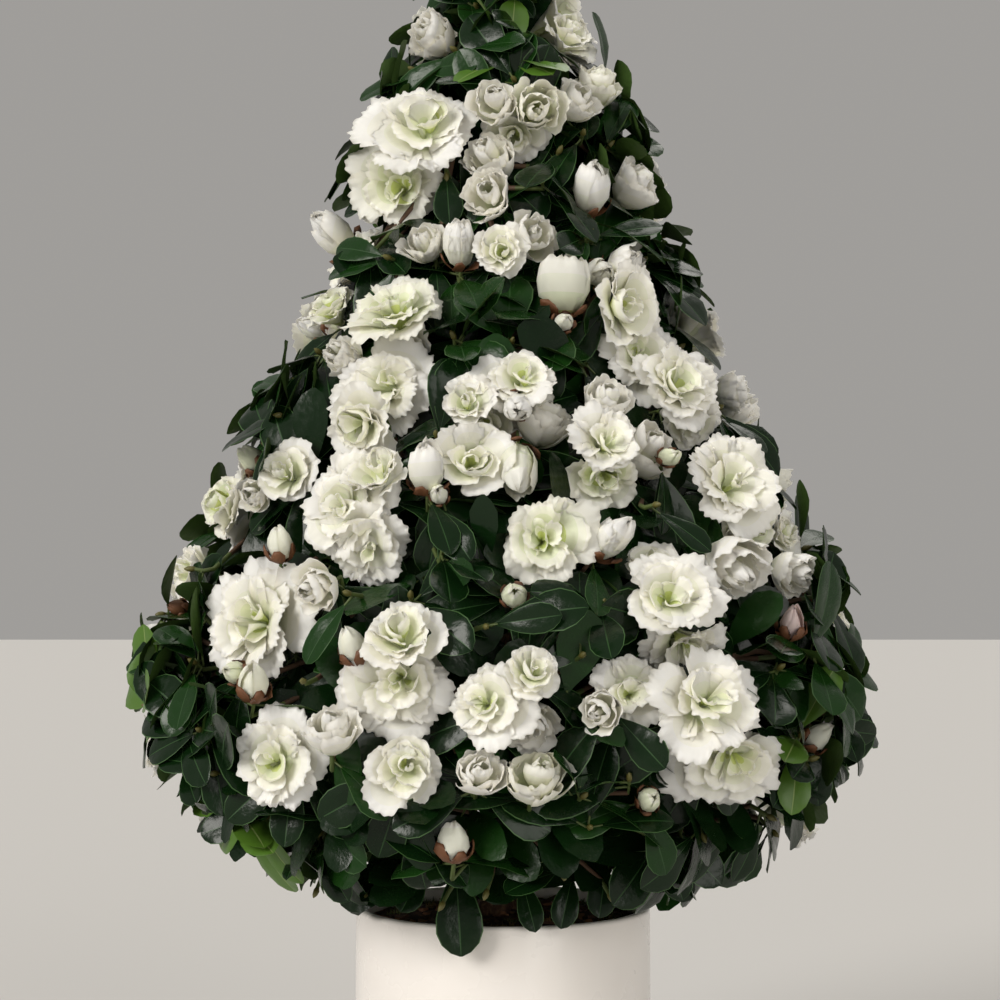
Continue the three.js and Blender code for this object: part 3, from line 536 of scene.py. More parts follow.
masses = []
for tier, lowest, highest, count, turned, radius in TIERS:
    for i in range(count):
        angle = wrapped(turned + 360 * i / count)
        middle = (lowest + highest) / 2
        tip = place(angle, BOUGH_REACH * crown_radius(middle), middle - BOUGH_TIP_BELOW)
        fall = BOUGH_FALL * math.hypot(tip[0], tip[1]) + BOUGH_STEP
        step = BOUGH_STEP * (2 * i % count)
        start = stem_point(max(tip[2] - fall, STEM_FOOT + LOWEST_BOUGH) + step)
        knee = start + BOUGH_KNEE[0] * (tip - start)
        knee[2] = start[2] + BOUGH_KNEE[1] * (tip[2] - start[2])
        share = np.linspace(0, 1, 15)[:, None]
        bough = (1 - share) ** 2 * start + 2 * share * (1 - share) * knee + share**2 * tip
        root = place(angle, ROOT_REACH * crown_radius(middle), middle)
        mass = {"name": f"{tier}_{i + 1}", "tier": tier, "angle": angle, "root": root}
        masses.append(mass | {"bough": bough, "radius": radius})

boughs = Gathered()
for mass in masses:
    run = np.linalg.norm(mass["bough"] - mass["bough"][0], axis=1)
    taper = 1 - (1 - BOUGH_TIP_SHARE) * run / run[-1]
    radii = mass["radius"] * (taper + COLLAR * np.exp(-((run / COLLAR_LENGTH) ** 2) / 2))
    add_tube(boughs, mass["bough"], radii, 12, 0, 0.3)
boughs_piece = boughs.made("barked_boughs", [old_bark], "bark")
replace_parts(boughs_piece, *[f"bough_{mass['name']}" for mass in masses])

top_mass = {
    "name": "top",
    "tier": "top",
    "bough": np.array([stem_point(STEM_TOP - 6), stem_point(STEM_TOP)]),
    "radius": STEM_RADIUS_TOP / BOUGH_TIP_SHARE,
    "root": stem_point(STEM_TOP) + (0, 0, TOP_ROOT_ABOVE),
}
masses.append(top_mass)

# The twigs: each mass branches from one root, and every twig ends in a whorl of leaves round a
# flower or a leaf bud. The front flowers stand where the photograph shows them. The sides and
# the back carry as many, by the seeded rule that the solids follow too.
FULL, OPEN, HALF, TULIP, BUD = "full", "open", "half", "tulip", "bud"
DEPTH = {FULL: 0.36, OPEN: 0.44, HALF: 0.62, TULIP: 0.8, BUD: 0.8}
# Each flower: across from the stem's line, height, breadth, stage, and for some the turn to the
# side and the lift from level, in degrees.
FRONT_FLOWERS = [
    (38, 634, 34, OPEN, 45, 40), (-40, 632, 28, HALF), (52, 605, 26, HALF, 20, 50),
    (40, 590, 24, HALF, 30, 30), (-5, 585, 26, HALF, -10, 15), (18, 582, 30, HALF, 10, 0),
    (6, 566, 36, OPEN, 0, -20), (-46, 573, 60, FULL, -5, 20), (-56, 545, 55, FULL, -10, 0),
    (-8, 552, 28, HALF, -30, 30), (-9, 532, 28, HALF, -15, 10), (47, 541, 22, TULIP, 15, 60),
    (73, 548, 28, HALF, 50, 35), (-98, 530, 24, TULIP, -60, 35), (-41, 508, 24, HALF, -25, 30),
    (-22, 507, 20, TULIP, 0, 65), (-2, 502, 30, OPEN, 0, 10), (17, 510, 26, HALF, 15, 10),
    (31, 487, 26, TULIP, 5, 70), (50, 491, 18, TULIP, 10, 0), (65, 498, 22, TULIP, 30, 20),
    (67, 476, 46, OPEN, 35, 0), (-92, 481, 32, OPEN, -40, 50), (-106, 474, 16, TULIP, -60, 20),
    (-56, 473, 52, FULL, -20, 50), (-51, 450, 36, OPEN, -20, -10), (-84, 448, 22, HALF, -45, 20),
    (-60, 426, 56, FULL, -15, 5), (-72, 409, 42, OPEN, -25, -15), (7, 431, 42, FULL, 0, 30),
    (-17, 422, 30, OPEN, -10, 25), (7, 415, 16, TULIP, 0, -20), (-8, 410, 38, OPEN, -5, 10),
    (-15, 392, 40, OPEN, 10, 10), (-37, 389, 20, TULIP, -5, 70), (7, 383, 22, TULIP, 0, -50),
    (22, 411, 30, HALF, 35, 45), (50, 401, 42, FULL, 20, 20), (47, 379, 34, OPEN, 5, -20),
    (52, 423, 28, HALF, 20, 40), (21, 352, 46, FULL, 0, 0), (53, 354, 20, TULIP, 60, 45),
    (-153, 375, 38, OPEN, -50, 5), (-127, 376, 18, HALF, -20, 0), (-109, 389, 32, OPEN, -20, 20),
    (-136, 401, 15, BUD, -60, 40), (-74, 371, 52, FULL, -20, 15), (-67, 348, 48, FULL, -15, -20),
    (-63, 386, 36, OPEN, -20, 45), (-110, 353, 15, BUD, -20, 70), (-90, 328, 24, HALF, -30, -10),
    (-120, 312, 66, FULL, -25, 15), (-119, 286, 16, BUD, 0, 60), (-47, 308, 38, OPEN, -10, 40),
    (-50, 284, 54, FULL, -5, -5), (-71, 303, 15, BUD, -40, 60), (-7, 276, 40, FULL, -15, 15),
    (14, 290, 28, OPEN, 15, 20), (12, 264, 26, HALF, 20, -35), (-11, 245, 24, HALF, 10, 35),
    (15, 242, 30, HALF, 10, 40), (-47, 243, 38, OPEN, 0, 5), (-80, 265, 26, HALF, 0, 60),
    (-106, 247, 48, FULL, -15, 5), (-23, 214, 17, BUD, 0, 70), (59, 282, 38, FULL, 5, 10),
    (44, 272, 20, HALF, -20, 0), (82, 326, 46, FULL, 5, 20), (69, 342, 30, OPEN, -10, 50),
    (85, 300, 44, FULL, 25, -40), (96, 273, 54, FULL, 20, 15), (105, 242, 52, FULL, 10, -25),
    (116, 381, 56, FULL, 25, 15), (125, 360, 36, OPEN, 30, -20), (146, 357, 28, OPEN, 50, 10),
    (148, 336, 24, HALF, 50, -25), (115, 337, 36, HALF, 35, -30), (93, 435, 50, FULL, 35, 25),
    (73, 445, 44, FULL, 15, 15), (128, 434, 30, HALF, 60, 50), (95, 412, 36, OPEN, 25, -30),
    (72, 397, 30, HALF, 30, 35), (143, 315, 15, BUD, 40, 75), (160, 256, 15, BUD, 50, 35),
    (69, 230, 13, BUD), (83, 394, 11, BUD), (-31, 373, 10, BUD), (31, 463, 12, BUD),
    (5, 325, 13, BUD), (-131, 288, 12, BUD), (-106, 474, 14, BUD), (-172, 320, 9, BUD),
]  # fmt: skip
# Small flowers that are seen whole in front of bigger ones, by their first two numbers.
NEAR = {(-5, 585), (18, 582), (-47, 308), (14, 290), (44, 272), (7, 415), (-37, 389), (-22, 507)}
FLOWER_LIFT = 12
FRONT_TURN = 0.75
FLOWER_SINK = 14
SIDE_SEED = 4711
SIDE_ROWS = {"low": 212, "high": 690, "step": 44, "spacing": 56, "jitter": 11}
FRONT_HALF_ANGLE = 76
SIDE_EMPTY = 0.12
SIDE_HIGHEST = 655
SIDE_STAGES = [(0.3, FULL, 54), (0.55, OPEN, 40), (0.8, HALF, 27), (1, TULIP, 20)]
SIDE_TURN = 50
SIDE_LIFT = 40
CROWD_ROUNDS = 12
CROWDING = 0.42  # flowers closer than this share of their breadths are set one behind another
IN_FRONT = 0.4
FORWARD = 11
BACK = -13
SHOOT_SEED = 977
SHOOT_ROWS = [
    {"low": 183, "high": 704, "step": 27, "spacing": 33, "jitter": 9, "sink": 18},
    {"low": 196, "high": 670, "step": 36, "spacing": 40, "jitter": 9, "sink": 46},
    {"low": 215, "high": 600, "step": 52, "spacing": 56, "jitter": 12, "sink": 84},
]
SHOOT_NEAREST = 14  # inner shoots stand at least this far from the stem's line
SHOOT_TURN = 55
SHOOT_CLEAR = 0.5
SHOOT_CLEAR_MORE = 7
SKIRT_HANG = 215
HANGING_BACK = 12
TWIG_FORK = 0.3
TWIG_ARCH = 0.06
NEAR_ROOT_WEIGHT = 0.8
PEAK_LEAVES = 36
CAMERA_PLACE = np.array([-1.65, -1076.0, 313.0])

# Leaves that hang over the pot in the photograph: where each one's base and tip are across and
# in height, how far its tip stands out from the stem, and its breadth.
HANGING = [
    (-24, 189, -21, 146, 93, 24), (9, 183, 16, 158, 90, 13), (35, 184, 29, 160, 90, 14),
    (74, 184, 62, 157, 92, 21), (80, 202, 89, 176, 100, 17), (92, 198, 105, 169, 96, 9),
    (88, 178, 90, 153, 93, 8), (-60, 186, -73, 163, 92, 16), (-40, 188, -51, 168, 90, 15),
    (-95, 205, -130, 186, 100, 15), (-118, 215, -143, 194, 96, 14), (52, 190, 48, 166, 94, 15),
    (-178, 303, -186, 276, 74, 21), (-184, 306, -205, 281, 60, 13), (-178, 316, -199, 323, 62, 8),
    (160, 252, 177, 216, 88, 13), (163, 256, 190, 236, 80, 14), (156, 252, 158, 222, 96, 16),
    (158, 258, 140, 232, 104, 17), (-25, 560, -29, 524, 74, 14), (-30, 548, -28, 520, 70, 16),
]  # fmt: skip


def mass_at(angle, height):
    """The mass that a place on the crown belongs to."""
    if height >= STEM_TOP:
        return top_mass
    tier = next((tier[0] for tier in reversed(TIERS) if height >= tier[1]), "skirt")
    around = [mass for mass in masses if mass["tier"] == tier]
    return min(around, key=lambda mass: abs(wrapped(angle - mass["angle"])))


def cells(rows, draw):
    """Cells of equal size round the crown, row by row, each with its own chances."""
    row = 0
    height = rows["low"]
    while height < rows["high"]:
        count = max(3, math.floor(2 * math.pi * crown_radius(height) / rows["spacing"] + 0.5))
        for i in range(count):
            shift = (next(draw) - 0.5) * 2 * rows["jitter"]
            rise = (next(draw) - 0.5) * 2 * rows["jitter"]
            turned = 360 * (i + row % 2 / 2) / count
            angle = turned + math.degrees(shift / crown_radius(height))
            yield wrapped(angle), height + rise, next(draw), next(draw)
        height += rows["step"]
        row += 1


flower_ends = []


def add_flower(face, axis, breadth, stage, seen_at=None):
    """A twig end with a flower whose face is here. A front one is known by where it is seen."""
    end = {"mass": mass_at(angle_of(face), face[2]), "face": face, "axis": axis}
    flower_ends.append(end | {"breadth": breadth, "stage": stage, "seen_at": seen_at})


for across, height, breadth, stage, *facing in FRONT_FLOWERS:
    reach = max(crown_radius(height) - FLOWER_SINK, abs(across))
    angle = math.degrees(math.asin(across / reach))
    axis = outward(*facing or (angle * FRONT_TURN, FLOWER_LIFT))
    add_flower(place(angle, reach, height), axis, breadth, stage, (across, height))
draw = seeded(SIDE_SEED)
for angle, height, chance, other in cells(SIDE_ROWS, draw):
    unseen = abs(angle) > FRONT_HALF_ANGLE or height > SIDE_HIGHEST
    if unseen and chance >= SIDE_EMPTY:
        _, stage, breadth = next(row for row in SIDE_STAGES if other <= row[0])
        face = place(angle, crown_radius(height) - FLOWER_SINK, height)
        turned = angle - SIDE_TURN / 2 + SIDE_TURN * next(draw)
        axis = outward(turned, SIDE_LIFT * next(draw) - 2)
        add_flower(face, axis, breadth * (0.88 + 0.3 * next(draw)), stage)

# Flowers that crowd each other are set one behind another. The bigger one stands in front,
# unless the smaller one grows from its middle or is seen whole in the photograph.
for end in flower_ends:
    seen_from = CAMERA_PLACE - end["face"] if end["seen_at"] else end["face"] * (1, 1, 0)
    end |= {"forward": unit(seen_from), "shift": 0.0}
for _ in range(CROWD_ROUNDS):
    for one, other in itertools.combinations(flower_ends, 2):
        there, here = [end["face"] + end["forward"] * end["shift"] for end in (one, other)]
        gap = there - here
        room = CROWDING * (one["breadth"] + other["breadth"]) - np.linalg.norm(gap)
        if room > 0:
            small, big = sorted((one, other), key=lambda end: end["breadth"])
            aside = gap - one["forward"] * gap.dot(one["forward"])
            ahead = np.linalg.norm(aside) < IN_FRONT * big["breadth"] or small["seen_at"] in NEAR
            fore, rear = (small, big) if ahead and big["seen_at"] not in NEAR else (big, small)
            fore["shift"] = min(FORWARD, fore["shift"] + room / 4)
            rear["shift"] = max(BACK, rear["shift"] - room / 4)
for end in flower_ends:
    end["face"] = end["face"] + end["forward"] * end["shift"]
    end["point"] = end["face"] - end["axis"] * DEPTH[end["stage"]] * end["breadth"]

shoot_ends = []
for layer, rows in enumerate(SHOOT_ROWS):
    for angle, height, chance, other in cells(rows, seeded(SHOOT_SEED + 31 * layer)):
        reach = crown_radius(height) - rows["sink"] * (0.6 + 0.8 * chance)
        if reach < SHOOT_NEAREST and layer:
            continue
        point = place(angle, max(reach, 4), height)
        if layer == 0 and any(
            np.linalg.norm(end["face"] - point) < SHOOT_CLEAR * end["breadth"] + SHOOT_CLEAR_MORE
            for end in flower_ends
        ):
            continue
        hanging = height < SKIRT_HANG and layer == 0
        lift = 30 * chance - 58 if hanging else 50 * chance
        axis = outward(angle + SHOOT_TURN * (other - 0.5), lift)
        end = {"mass": mass_at(angle, height), "point": point, "axis": axis}
        shoot_ends.append(end | {"layer": layer})
for across, height, tip_across, tip_height, out, breadth in HANGING:
    base = np.array([across, HANGING_BACK - out, height])
    tip = np.array([tip_across, -out, tip_height])
    end = {"mass": mass_at(angle_of(base), height), "point": base, "layer": 0}
    end["axis"] = unit(unit(tip - base) - UP * 0.3)
    shoot_ends.append(end | {"leaf": (tip, breadth)})
end = {"mass": top_mass, "point": UP * (CROWN_TOP - PEAK_LEAVES), "axis": UP, "layer": 0}
shoot_ends.append(end | {"peak": True})

twigs = Gathered()
for mass in masses:
    # The mass's own stem runs on from its bough's tip to where its twigs fork.
    tip, before = mass["bough"][-1], mass["bough"][-2]
    along = unit(tip - before)
    radius = mass["radius"] * BOUGH_TIP_SHARE
    path = curve_through([tip - along, tip + along * 8, mass["root"]], 9)
    add_tube(twigs, path, np.linspace(radius, TWIG_BASE, 9), 8, 0)
    joints = [mass["root"]]
    ends = [end for end in flower_ends + shoot_ends if end["mass"] is mass]
    ends.sort(key=lambda end: np.linalg.norm(end["point"] - mass["root"]))
    for end in ends:
        gaps = np.array(joints)
        cost = np.linalg.norm(gaps - end["point"], axis=1)
        cost += NEAR_ROOT_WEIGHT * np.linalg.norm(gaps - mass["root"], axis=1)
        start = joints[int(cost.argmin())]
        away = np.linalg.norm(start - end["point"])
        fork = start + TWIG_FORK * (end["point"] - start)
        fork = fork + (0, 0, TWIG_ARCH * away)
        neck = end["point"] - end["axis"] * min(10, away / 3)
        joints.append(fork)
        count = int(np.clip(away / 9, 4, 9))
        path = curve_through([start, fork, neck, end["point"]], count)
        young = np.arange(count - 1) >= count // 2 if away < YOUNG_TWIG else np.zeros(count - 1)
        points = limb_rings(path, np.linspace(TWIG_BASE, TWIG_END, count), TWIG_SIDES)
        twigs.add(points, tube_faces(count, TWIG_SIDES), np.repeat(young.astype(int), TWIG_SIDES))

TWIG_FINISHES = [
    plain("brown twig bark", 0x5B4433, 0.75, grain=2.0, height=0.25),
    plain("green young twig", 0x4C5A2B, 0.55, grain=2.0, height=0.1),
    plain("brown-green leaf bud", 0x5C5828, 0.5, grain=2.0, height=0.1),
]

# The leaves: leathery blunt ovals, widest past the middle, glossy and very dark above, pale and
# matt below, with a thin pale rim. They stand in whorls, and at the skirt they hang.
LEAF_LENGTHS = (31, 45)
LEAF_BREADTH = 0.52
LEAF_ROWS = (0, 0.08, 0.22, 0.4, 0.58, 0.74, 0.87, 0.96, 1)
LEAF_HALF_WIDTHS = (0.06, 0.17, 0.47, 0.78, 0.97, 0.99, 0.79, 0.43, 0.06)
LEAF_COLUMNS = (-1, -0.95, -0.5, -0.035, 0.035, 0.5, 0.95, 1)
PLAIN_ROWS = (0, 0.12, 0.33, 0.56, 0.77, 0.93, 1)
PLAIN_HALF_WIDTHS = (0.07, 0.27, 0.7, 0.98, 0.95, 0.58, 0.12)
PLAIN_COLUMNS = (-1, 0, 1)
LEAF_TRIES = 6
FLOWER_WHORL, SHOOT_WHORL, INNER_WHORL = 5, 7, 6
PEAK_LENGTHS = (24, 34)  # near the top of the crown the leaves are smaller
PEAK_FROM = 640
# How far leaves open from the line of their twig: the least, and how much more it may be.
FLOWER_OPENED, SHOOT_OPENED, PEAK_OPENED = (72, 34), (38, 52), (8, 30)
SPIN_SPREAD = 0.9
DROOP = 0.45
HANGING_DROOP = 0.75
MID_SHARE = 0.25
STEM_CLEAR = 13
CROWN_SLACK = 5
LEAF_FOLD = 0.34
LEAF_RECURVE = 0.26
LEAF_THICK = 0.45
LEAVES_FROM = 153
LEAVES_UP = 16
OPEN_FRONT = 66
OPEN_FRONT_UP = 15  # in front of the stem the compost shows
PETIOLE = 4
LEAF_TWIST = 1.3
LOW_LEAVES_TO = 320
YOUNG_SHARE = (0.09, 0.03)  # of the outer shoots below and above that height
YOUNG_BREADTHS = (8, 21)  # the hanging leaves that are young, known by their breadths
GOLDEN_ANGLE = math.radians(137.5)
DARK, MID, YOUNG, RIM, RIB, UNDER, UNDER_YOUNG = range(7)
LEAF_FINISHES = [
    plain("glossy dark azalea leaf", 0x0B200A, 0.22, grain=5, height=0.35, sheen=0.25),
    plain("green azalea leaf", 0x15330F, 0.24, grain=5, height=0.35, sheen=0.25),
    plain("young azalea leaf", 0x4A6C22, 0.36, grain=5, height=0.2, sheen=0.36),
    plain("pale leaf rim", 0x38562C, 0.45, sheen=0.36),
    plain("pale leaf rib", 0x23421C, 0.4, sheen=0.36),
    plain("matt leaf underside", 0x3A5320, 0.6, grain=3, height=0.3, sheen=0.3),
    plain("young leaf underside", 0x7C8F50, 0.6, grain=3, height=0.3),
]


def leaf_net(rows, half_widths, columns):
    """Points over a leaf, as shares along and across it, with both sides' faces and kinds."""
    wide, long = len(columns), len(rows)
    along = np.concatenate([np.repeat(rows, wide), np.repeat(rows, 3)])
    half = np.concatenate([np.repeat(half_widths, wide), np.repeat(half_widths, 3)])
    across = np.concatenate([np.tile(columns, long), np.tile((-1, 0, 1), long)])
    below = np.concatenate([np.zeros(wide * long), np.tile((0, 1, 0), long)])
    faces, kinds = [], []
    for a in [r * wide + c for r in range(long - 1) for c in range(wide - 1)]:
        faces.append((a, a + 1, a + wide + 1, a + wide))
        left, right = across[a], across[a + 1]
        narrow = "rib" if abs(left + right) < 1 else "rim"
        kinds.append(narrow if right - left < 0.1 else "blade")
    for a in [wide * long + r * 3 + c for r in range(long - 1) for c in range(2)]:
        faces.append((a, a + 3, a + 4, a + 1))
        kinds.append("under")
    tried = np.flatnonzero((along > 0.15) & (below == 0) & (np.abs(across) != 0.5))
    net = {"share": along, "half": half, "across": across, "below": below, "tried": tried}
    return net | {"faces": np.array(faces), "kinds": kinds}


FINE_LEAF = leaf_net(LEAF_ROWS, LEAF_HALF_WIDTHS, LEAF_COLUMNS)
PLAIN_LEAF = leaf_net(PLAIN_ROWS, PLAIN_HALF_WIDTHS, PLAIN_COLUMNS)


def leaf_points(net, base, along, side, length, breadth, arch, wave):
    """A leaf laid along a direction: arched, with each half curved down from beside the rib."""
    share, across, half = net["share"], net["across"], net["half"] * breadth / 2
    above = arch * length * (0.3 * share - share**2)
    above = above + half * (LEAF_FOLD * np.abs(across) - LEAF_RECURVE * across**2)
    above = above + wave * half * across * np.sin(8 * share + 2) - LEAF_THICK * net["below"]
    blade = base + np.outer(share * length, along) + np.outer(across * half, side)
    return blade + np.outer(above, np.cross(along, side))


def leaf_kinds(net, tint):
    """The finish of each face of a leaf of this tint."""
    finish = {"rim": RIM, "rib": RIB, "blade": tint, "under": UNDER}
    if tint == YOUNG:
        finish = {"rim": YOUNG, "rib": UNDER_YOUNG, "blade": YOUNG, "under": UNDER_YOUNG}
    return np.array([finish[kind] for kind in net["kinds"]])


# Space that no leaf may fill: balls round each flower, by their height on its axis, radius and
# ring's radius as shares of its breadth, and the view of its face.
FLOWER_BALLS = {
    FULL: [(0.3, 0.15, 0), (0.28, 0.27, 0), (0.33, 0.15, 0.36)],
    OPEN: [(0.35, 0.28, 0), (0.4, 0.16, 0.34)],
    HALF: [(0.25, 0.3, 0), (0.6, 0.47, 0)],
    TULIP: [(0.3, 0.36, 0), (0.85, 0.46, 0)],
    BUD: [(0.3, 0.36, 0), (0.85, 0.42, 0)],
}
VIEW_SHARE = {FULL: 0.38, OPEN: 0.36, HALF: 0.36, TULIP: 0.4, BUD: 0.4}
for end in flower_ends + shoot_ends:
    end["side"] = sideways(end["axis"])
    end["other"] = np.cross(end["axis"], end["side"])
ball_centres, ball_radii = [], []
for end in flower_ends:
    for rise, radius, ring in FLOWER_BALLS[end["stage"]]:
        for turn in np.linspace(0, 2 * math.pi, 9 if ring else 2)[:-1]:
            rim = end["side"] * math.cos(turn) + end["other"] * math.sin(turn)
            ball_centres.append(end["point"] + end["breadth"] * (rise * end["axis"] + ring * rim))
            ball_radii.append(radius * end["breadth"])
ball_centres, ball_radii = np.array(ball_centres), np.array(ball_radii)
faces_seen = np.array([end["face"] for end in flower_ends])
seen_along = np.array([end["forward"] for end in flower_ends])
seen_radii = np.array([VIEW_SHARE[end["stage"]] * end["breadth"] for end in flower_ends])


def leaf_stands_free(points, shown, chance):
    """True if a leaf keeps out of flowers and their view, the pot and the stem, in the crown."""
    x, y, z = points.T
    reach = np.hypot(x, y)
    outline = np.interp(z, *zip(*OUTLINE))
    lowest = LEAVES_FROM + LEAVES_UP * chance
    lowest = np.where((np.abs(x) < OPEN_FRONT) & (y < 0), lowest + OPEN_FRONT_UP, lowest)
    if (reach > outline + CROWN_SLACK).any() or z.max() > CROWN_TOP:
        return False
    if (z < lowest).any() and not shown:
        return False
    in_pot = (reach < POT_RADIUS + 2) & (z < POT_HEIGHT + 2)
    if (in_pot | (reach < STEM_CLEAR) & (z < STEM_TOP)).any():
        return False
    if (np.linalg.norm(points[:, None] - ball_centres, axis=2) < ball_radii).any():
        return False
    gaps = points[:, None] - faces_seen
    depth = (gaps * seen_along).sum(axis=2)
    aside = np.sqrt(np.maximum((gaps**2).sum(axis=2) - depth**2, 0))
    return not ((depth > 0) & (aside < seen_radii)).any()


def hang_leaf(net, foot, along, facing, length, breadth, draw, tint, shown=False):
    """Adds a leaf that faces some way, if it stands free."""
    facing = facing - along * along.dot(facing)
    side = unit(np.cross(unit(facing), along))
    arch, wave = 0.1 + 0.2 * next(draw), 0.16 * next(draw)
    points = leaf_points(net, foot, along, side, length, breadth, arch, wave)
    free = leaf_stands_free(points[net["tried"]], shown, next(draw))
    if free:
        group = "inner" if net is PLAIN_LEAF else "low" if foot[2] < LOW_LEAVES_TO else "high"
        leaves[group].add(points, net["faces"], leaf_kinds(net, tint))
    return free


def leafy_whorl(end, count, net, draw, tint, opened, lengths=LEAF_LENGTHS):
    """Leaves round a twig end. Each of them is tried a few times before it is left out."""
    hanging = end["point"][2] < SKIRT_HANG and "layer" in end
    turn = 2 * math.pi * next(draw)
    for i in range(count):
        turn += GOLDEN_ANGLE
        for _ in range(LEAF_TRIES):
            spin = turn + SPIN_SPREAD * (next(draw) - 0.5)
            out = end["side"] * math.cos(spin) + end["other"] * math.sin(spin)
            open_angle = math.radians(opened[0] + opened[1] * next(draw))
            along = end["axis"] * math.cos(open_angle) + out * math.sin(open_angle)
            along = unit(along - UP * (HANGING_DROOP if hanging else DROOP * next(draw)))
            facing = outward(angle_of(end["point"]), 25) if hanging else end["axis"] + 0.5 * UP
            facing = facing + LEAF_TWIST * (next(draw) - 0.5) * np.cross(along, facing)
            if np.linalg.norm(facing - along * along.dot(facing)) < 0.1:
                facing = out
            length = lengths[0] + (lengths[1] - lengths[0]) * next(draw)
            breadth = length * LEAF_BREADTH * (0.85 + 0.3 * next(draw))
            base = end["point"] - end["axis"] * (1 + 5 * i / count) + out * 1.2
            foot = base + along * PETIOLE
            if hang_leaf(net, foot, along, facing, length, breadth, draw, tint):
                path = np.array([base - out * 0.6, foot + along * 1.5])
                twigs.add(limb_rings(path, [0.75, 0.6], 3), tube_faces(2, 3), 1)
                break


leaves = {"low": Gathered(), "high": Gathered(), "inner": Gathered()}
draw = seeded(31)
for end in shoot_ends:
    if "leaf" in end:
        tip, breadth = end["leaf"]
        reach = tip - end["point"]
        facing = np.array([0, -1, 0.25])
        length = np.linalg.norm(reach)
        tint = YOUNG if breadth in YOUNG_BREADTHS else DARK
        hang_leaf(FINE_LEAF, end["point"], unit(reach), facing, length, breadth, draw, tint, True)
for end in flower_ends:
    tint = MID if next(draw) < 0.2 else DARK
    leafy_whorl(end, FLOWER_WHORL, FINE_LEAF, draw, tint, FLOWER_OPENED)
for end in shoot_ends:
    outer, height, chance = end["layer"] == 0, end["point"][2], next(draw)
    young = YOUNG_SHARE[0 if height < LOW_LEAVES_TO else 1]
    tint = YOUNG if chance < young and outer else MID if chance < MID_SHARE else DARK
    net, count = (FINE_LEAF, SHOOT_WHORL) if outer else (PLAIN_LEAF, INNER_WHORL)
    opened = PEAK_OPENED if "peak" in end else SHOOT_OPENED
    lengths = PEAK_LENGTHS if height > PEAK_FROM else LEAF_LENGTHS
    leafy_whorl(end, count, net, draw, tint, opened, lengths)
    if outer:
        path = [end["point"] + end["axis"] * rise for rise in (-1, 1, 3.2, 5)]
        add_tube(twigs, path, [1.0, 1.7, 1.4, 0.3], 5, 2)

foliage_nodes = [f"foliage_{mass['name']}" for mass in masses]
for group, gathered in leaves.items():
    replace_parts(gathered.made(f"leaves_{group}", LEAF_FINISHES, "foliage"), *foliage_nodes)
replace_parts(twigs.made("twigs", TWIG_FINISHES, "foliage"), *foliage_nodes)

# The flowers: double, in rings of broad thin petals with crimped, waved edges, which stand more
# upright towards the middle. White at the rim runs through ivory to a yellow-green throat.
PETAL_ROWS = (0, 0.24, 0.48, 0.7, 0.88, 1)
PETAL_THICK = 0.35
NOTCHES = [(0.02, 0.64), (0.02, 1.3)]  # depth as a share of the petal, and length
DEEP_NOTCH = (0.06, 3.4)
CRIMP_LENGTH = 0.78
SLOPE_STEP = 0.06
# Folds of a petal: height as a share of the breadth, growth to the rim, length as such a share.
FOLDS = [(0.042, 2, 0.1), (0.019, 5, 0.045)]
THROAT, LIME, CREAM, IVORY, WHITE, PINK, SCALE = range(7)


def petal(name, code):
    """Petal flesh: thin and soft, so that light spreads in it, with a silky gloss."""
    material = plain(name, code, 0.5, grain=1.6, height=0.06)
    tree = material.node_tree
    fill(tree, tree.nodes["Principled BSDF"], {
        "Subsurface Weight": 0.6,
        "Subsurface Radius": (1.0, 0.95, 0.85),
        "Subsurface Scale": 2 * MM,
    })  # fmt: skip
    return material


PETAL_FINISHES = [
    petal("yellow-green petal throat", 0xCCD888),
    petal("lime cream petal", 0xE5EBC5),
    petal("cream petal", 0xF1F1D8),
    petal("ivory petal", 0xF8F5E5),
    petal("white petal", 0xFBF8EF),
    petal("pink-flushed bud petal", 0xEBCDC6),
    plain("papery brown bud scale", 0x6B4429, 0.6, grain=1.5, height=0.15),
]


def petal_net(counts):
    """Points over a petal, in rows that widen to its edge, and its faces with their rows."""
    share = np.concatenate([np.full(n, row) for n, row in zip(counts, PETAL_ROWS)])
    across = np.concatenate([np.linspace(-1, 1, n) for n in counts])
    faces, bands = [], []
    start = 0
    for band, (low, high) in enumerate(zip(counts, counts[1:])):
        i = j = 0
        while i < low - 1 or j < high - 1:
            if j >= high - 1 or (i < low - 1 and (i + 1) / (low - 1) <= (j + 1) / (high - 1)):
                faces.append((start + i, start + low + j, start + i + 1))
                i += 1
            else:
                faces.append((start + i, start + low + j, start + low + j + 1))
                j += 1
            bands.append(band)
        start += low
    faces = np.array(faces)
    return {
        "share": share,
        "across": across,
        "inside": (np.abs(across) < 1) & (share < 1) & (share > 0),
        "faces": np.vstack([faces, faces[:, ::-1] + len(share)]),
        "bands": np.array(bands + bands),
    }


NETS = {
    "fine": petal_net((2, 5, 9, 14, 27, 49)),
    "mid": petal_net((2, 4, 7, 11, 19, 33)),
    "small": petal_net((2, 4, 6, 9, 14, 23)),
    "scale": petal_net((2, 3, 4, 5, 4, 2)),
}
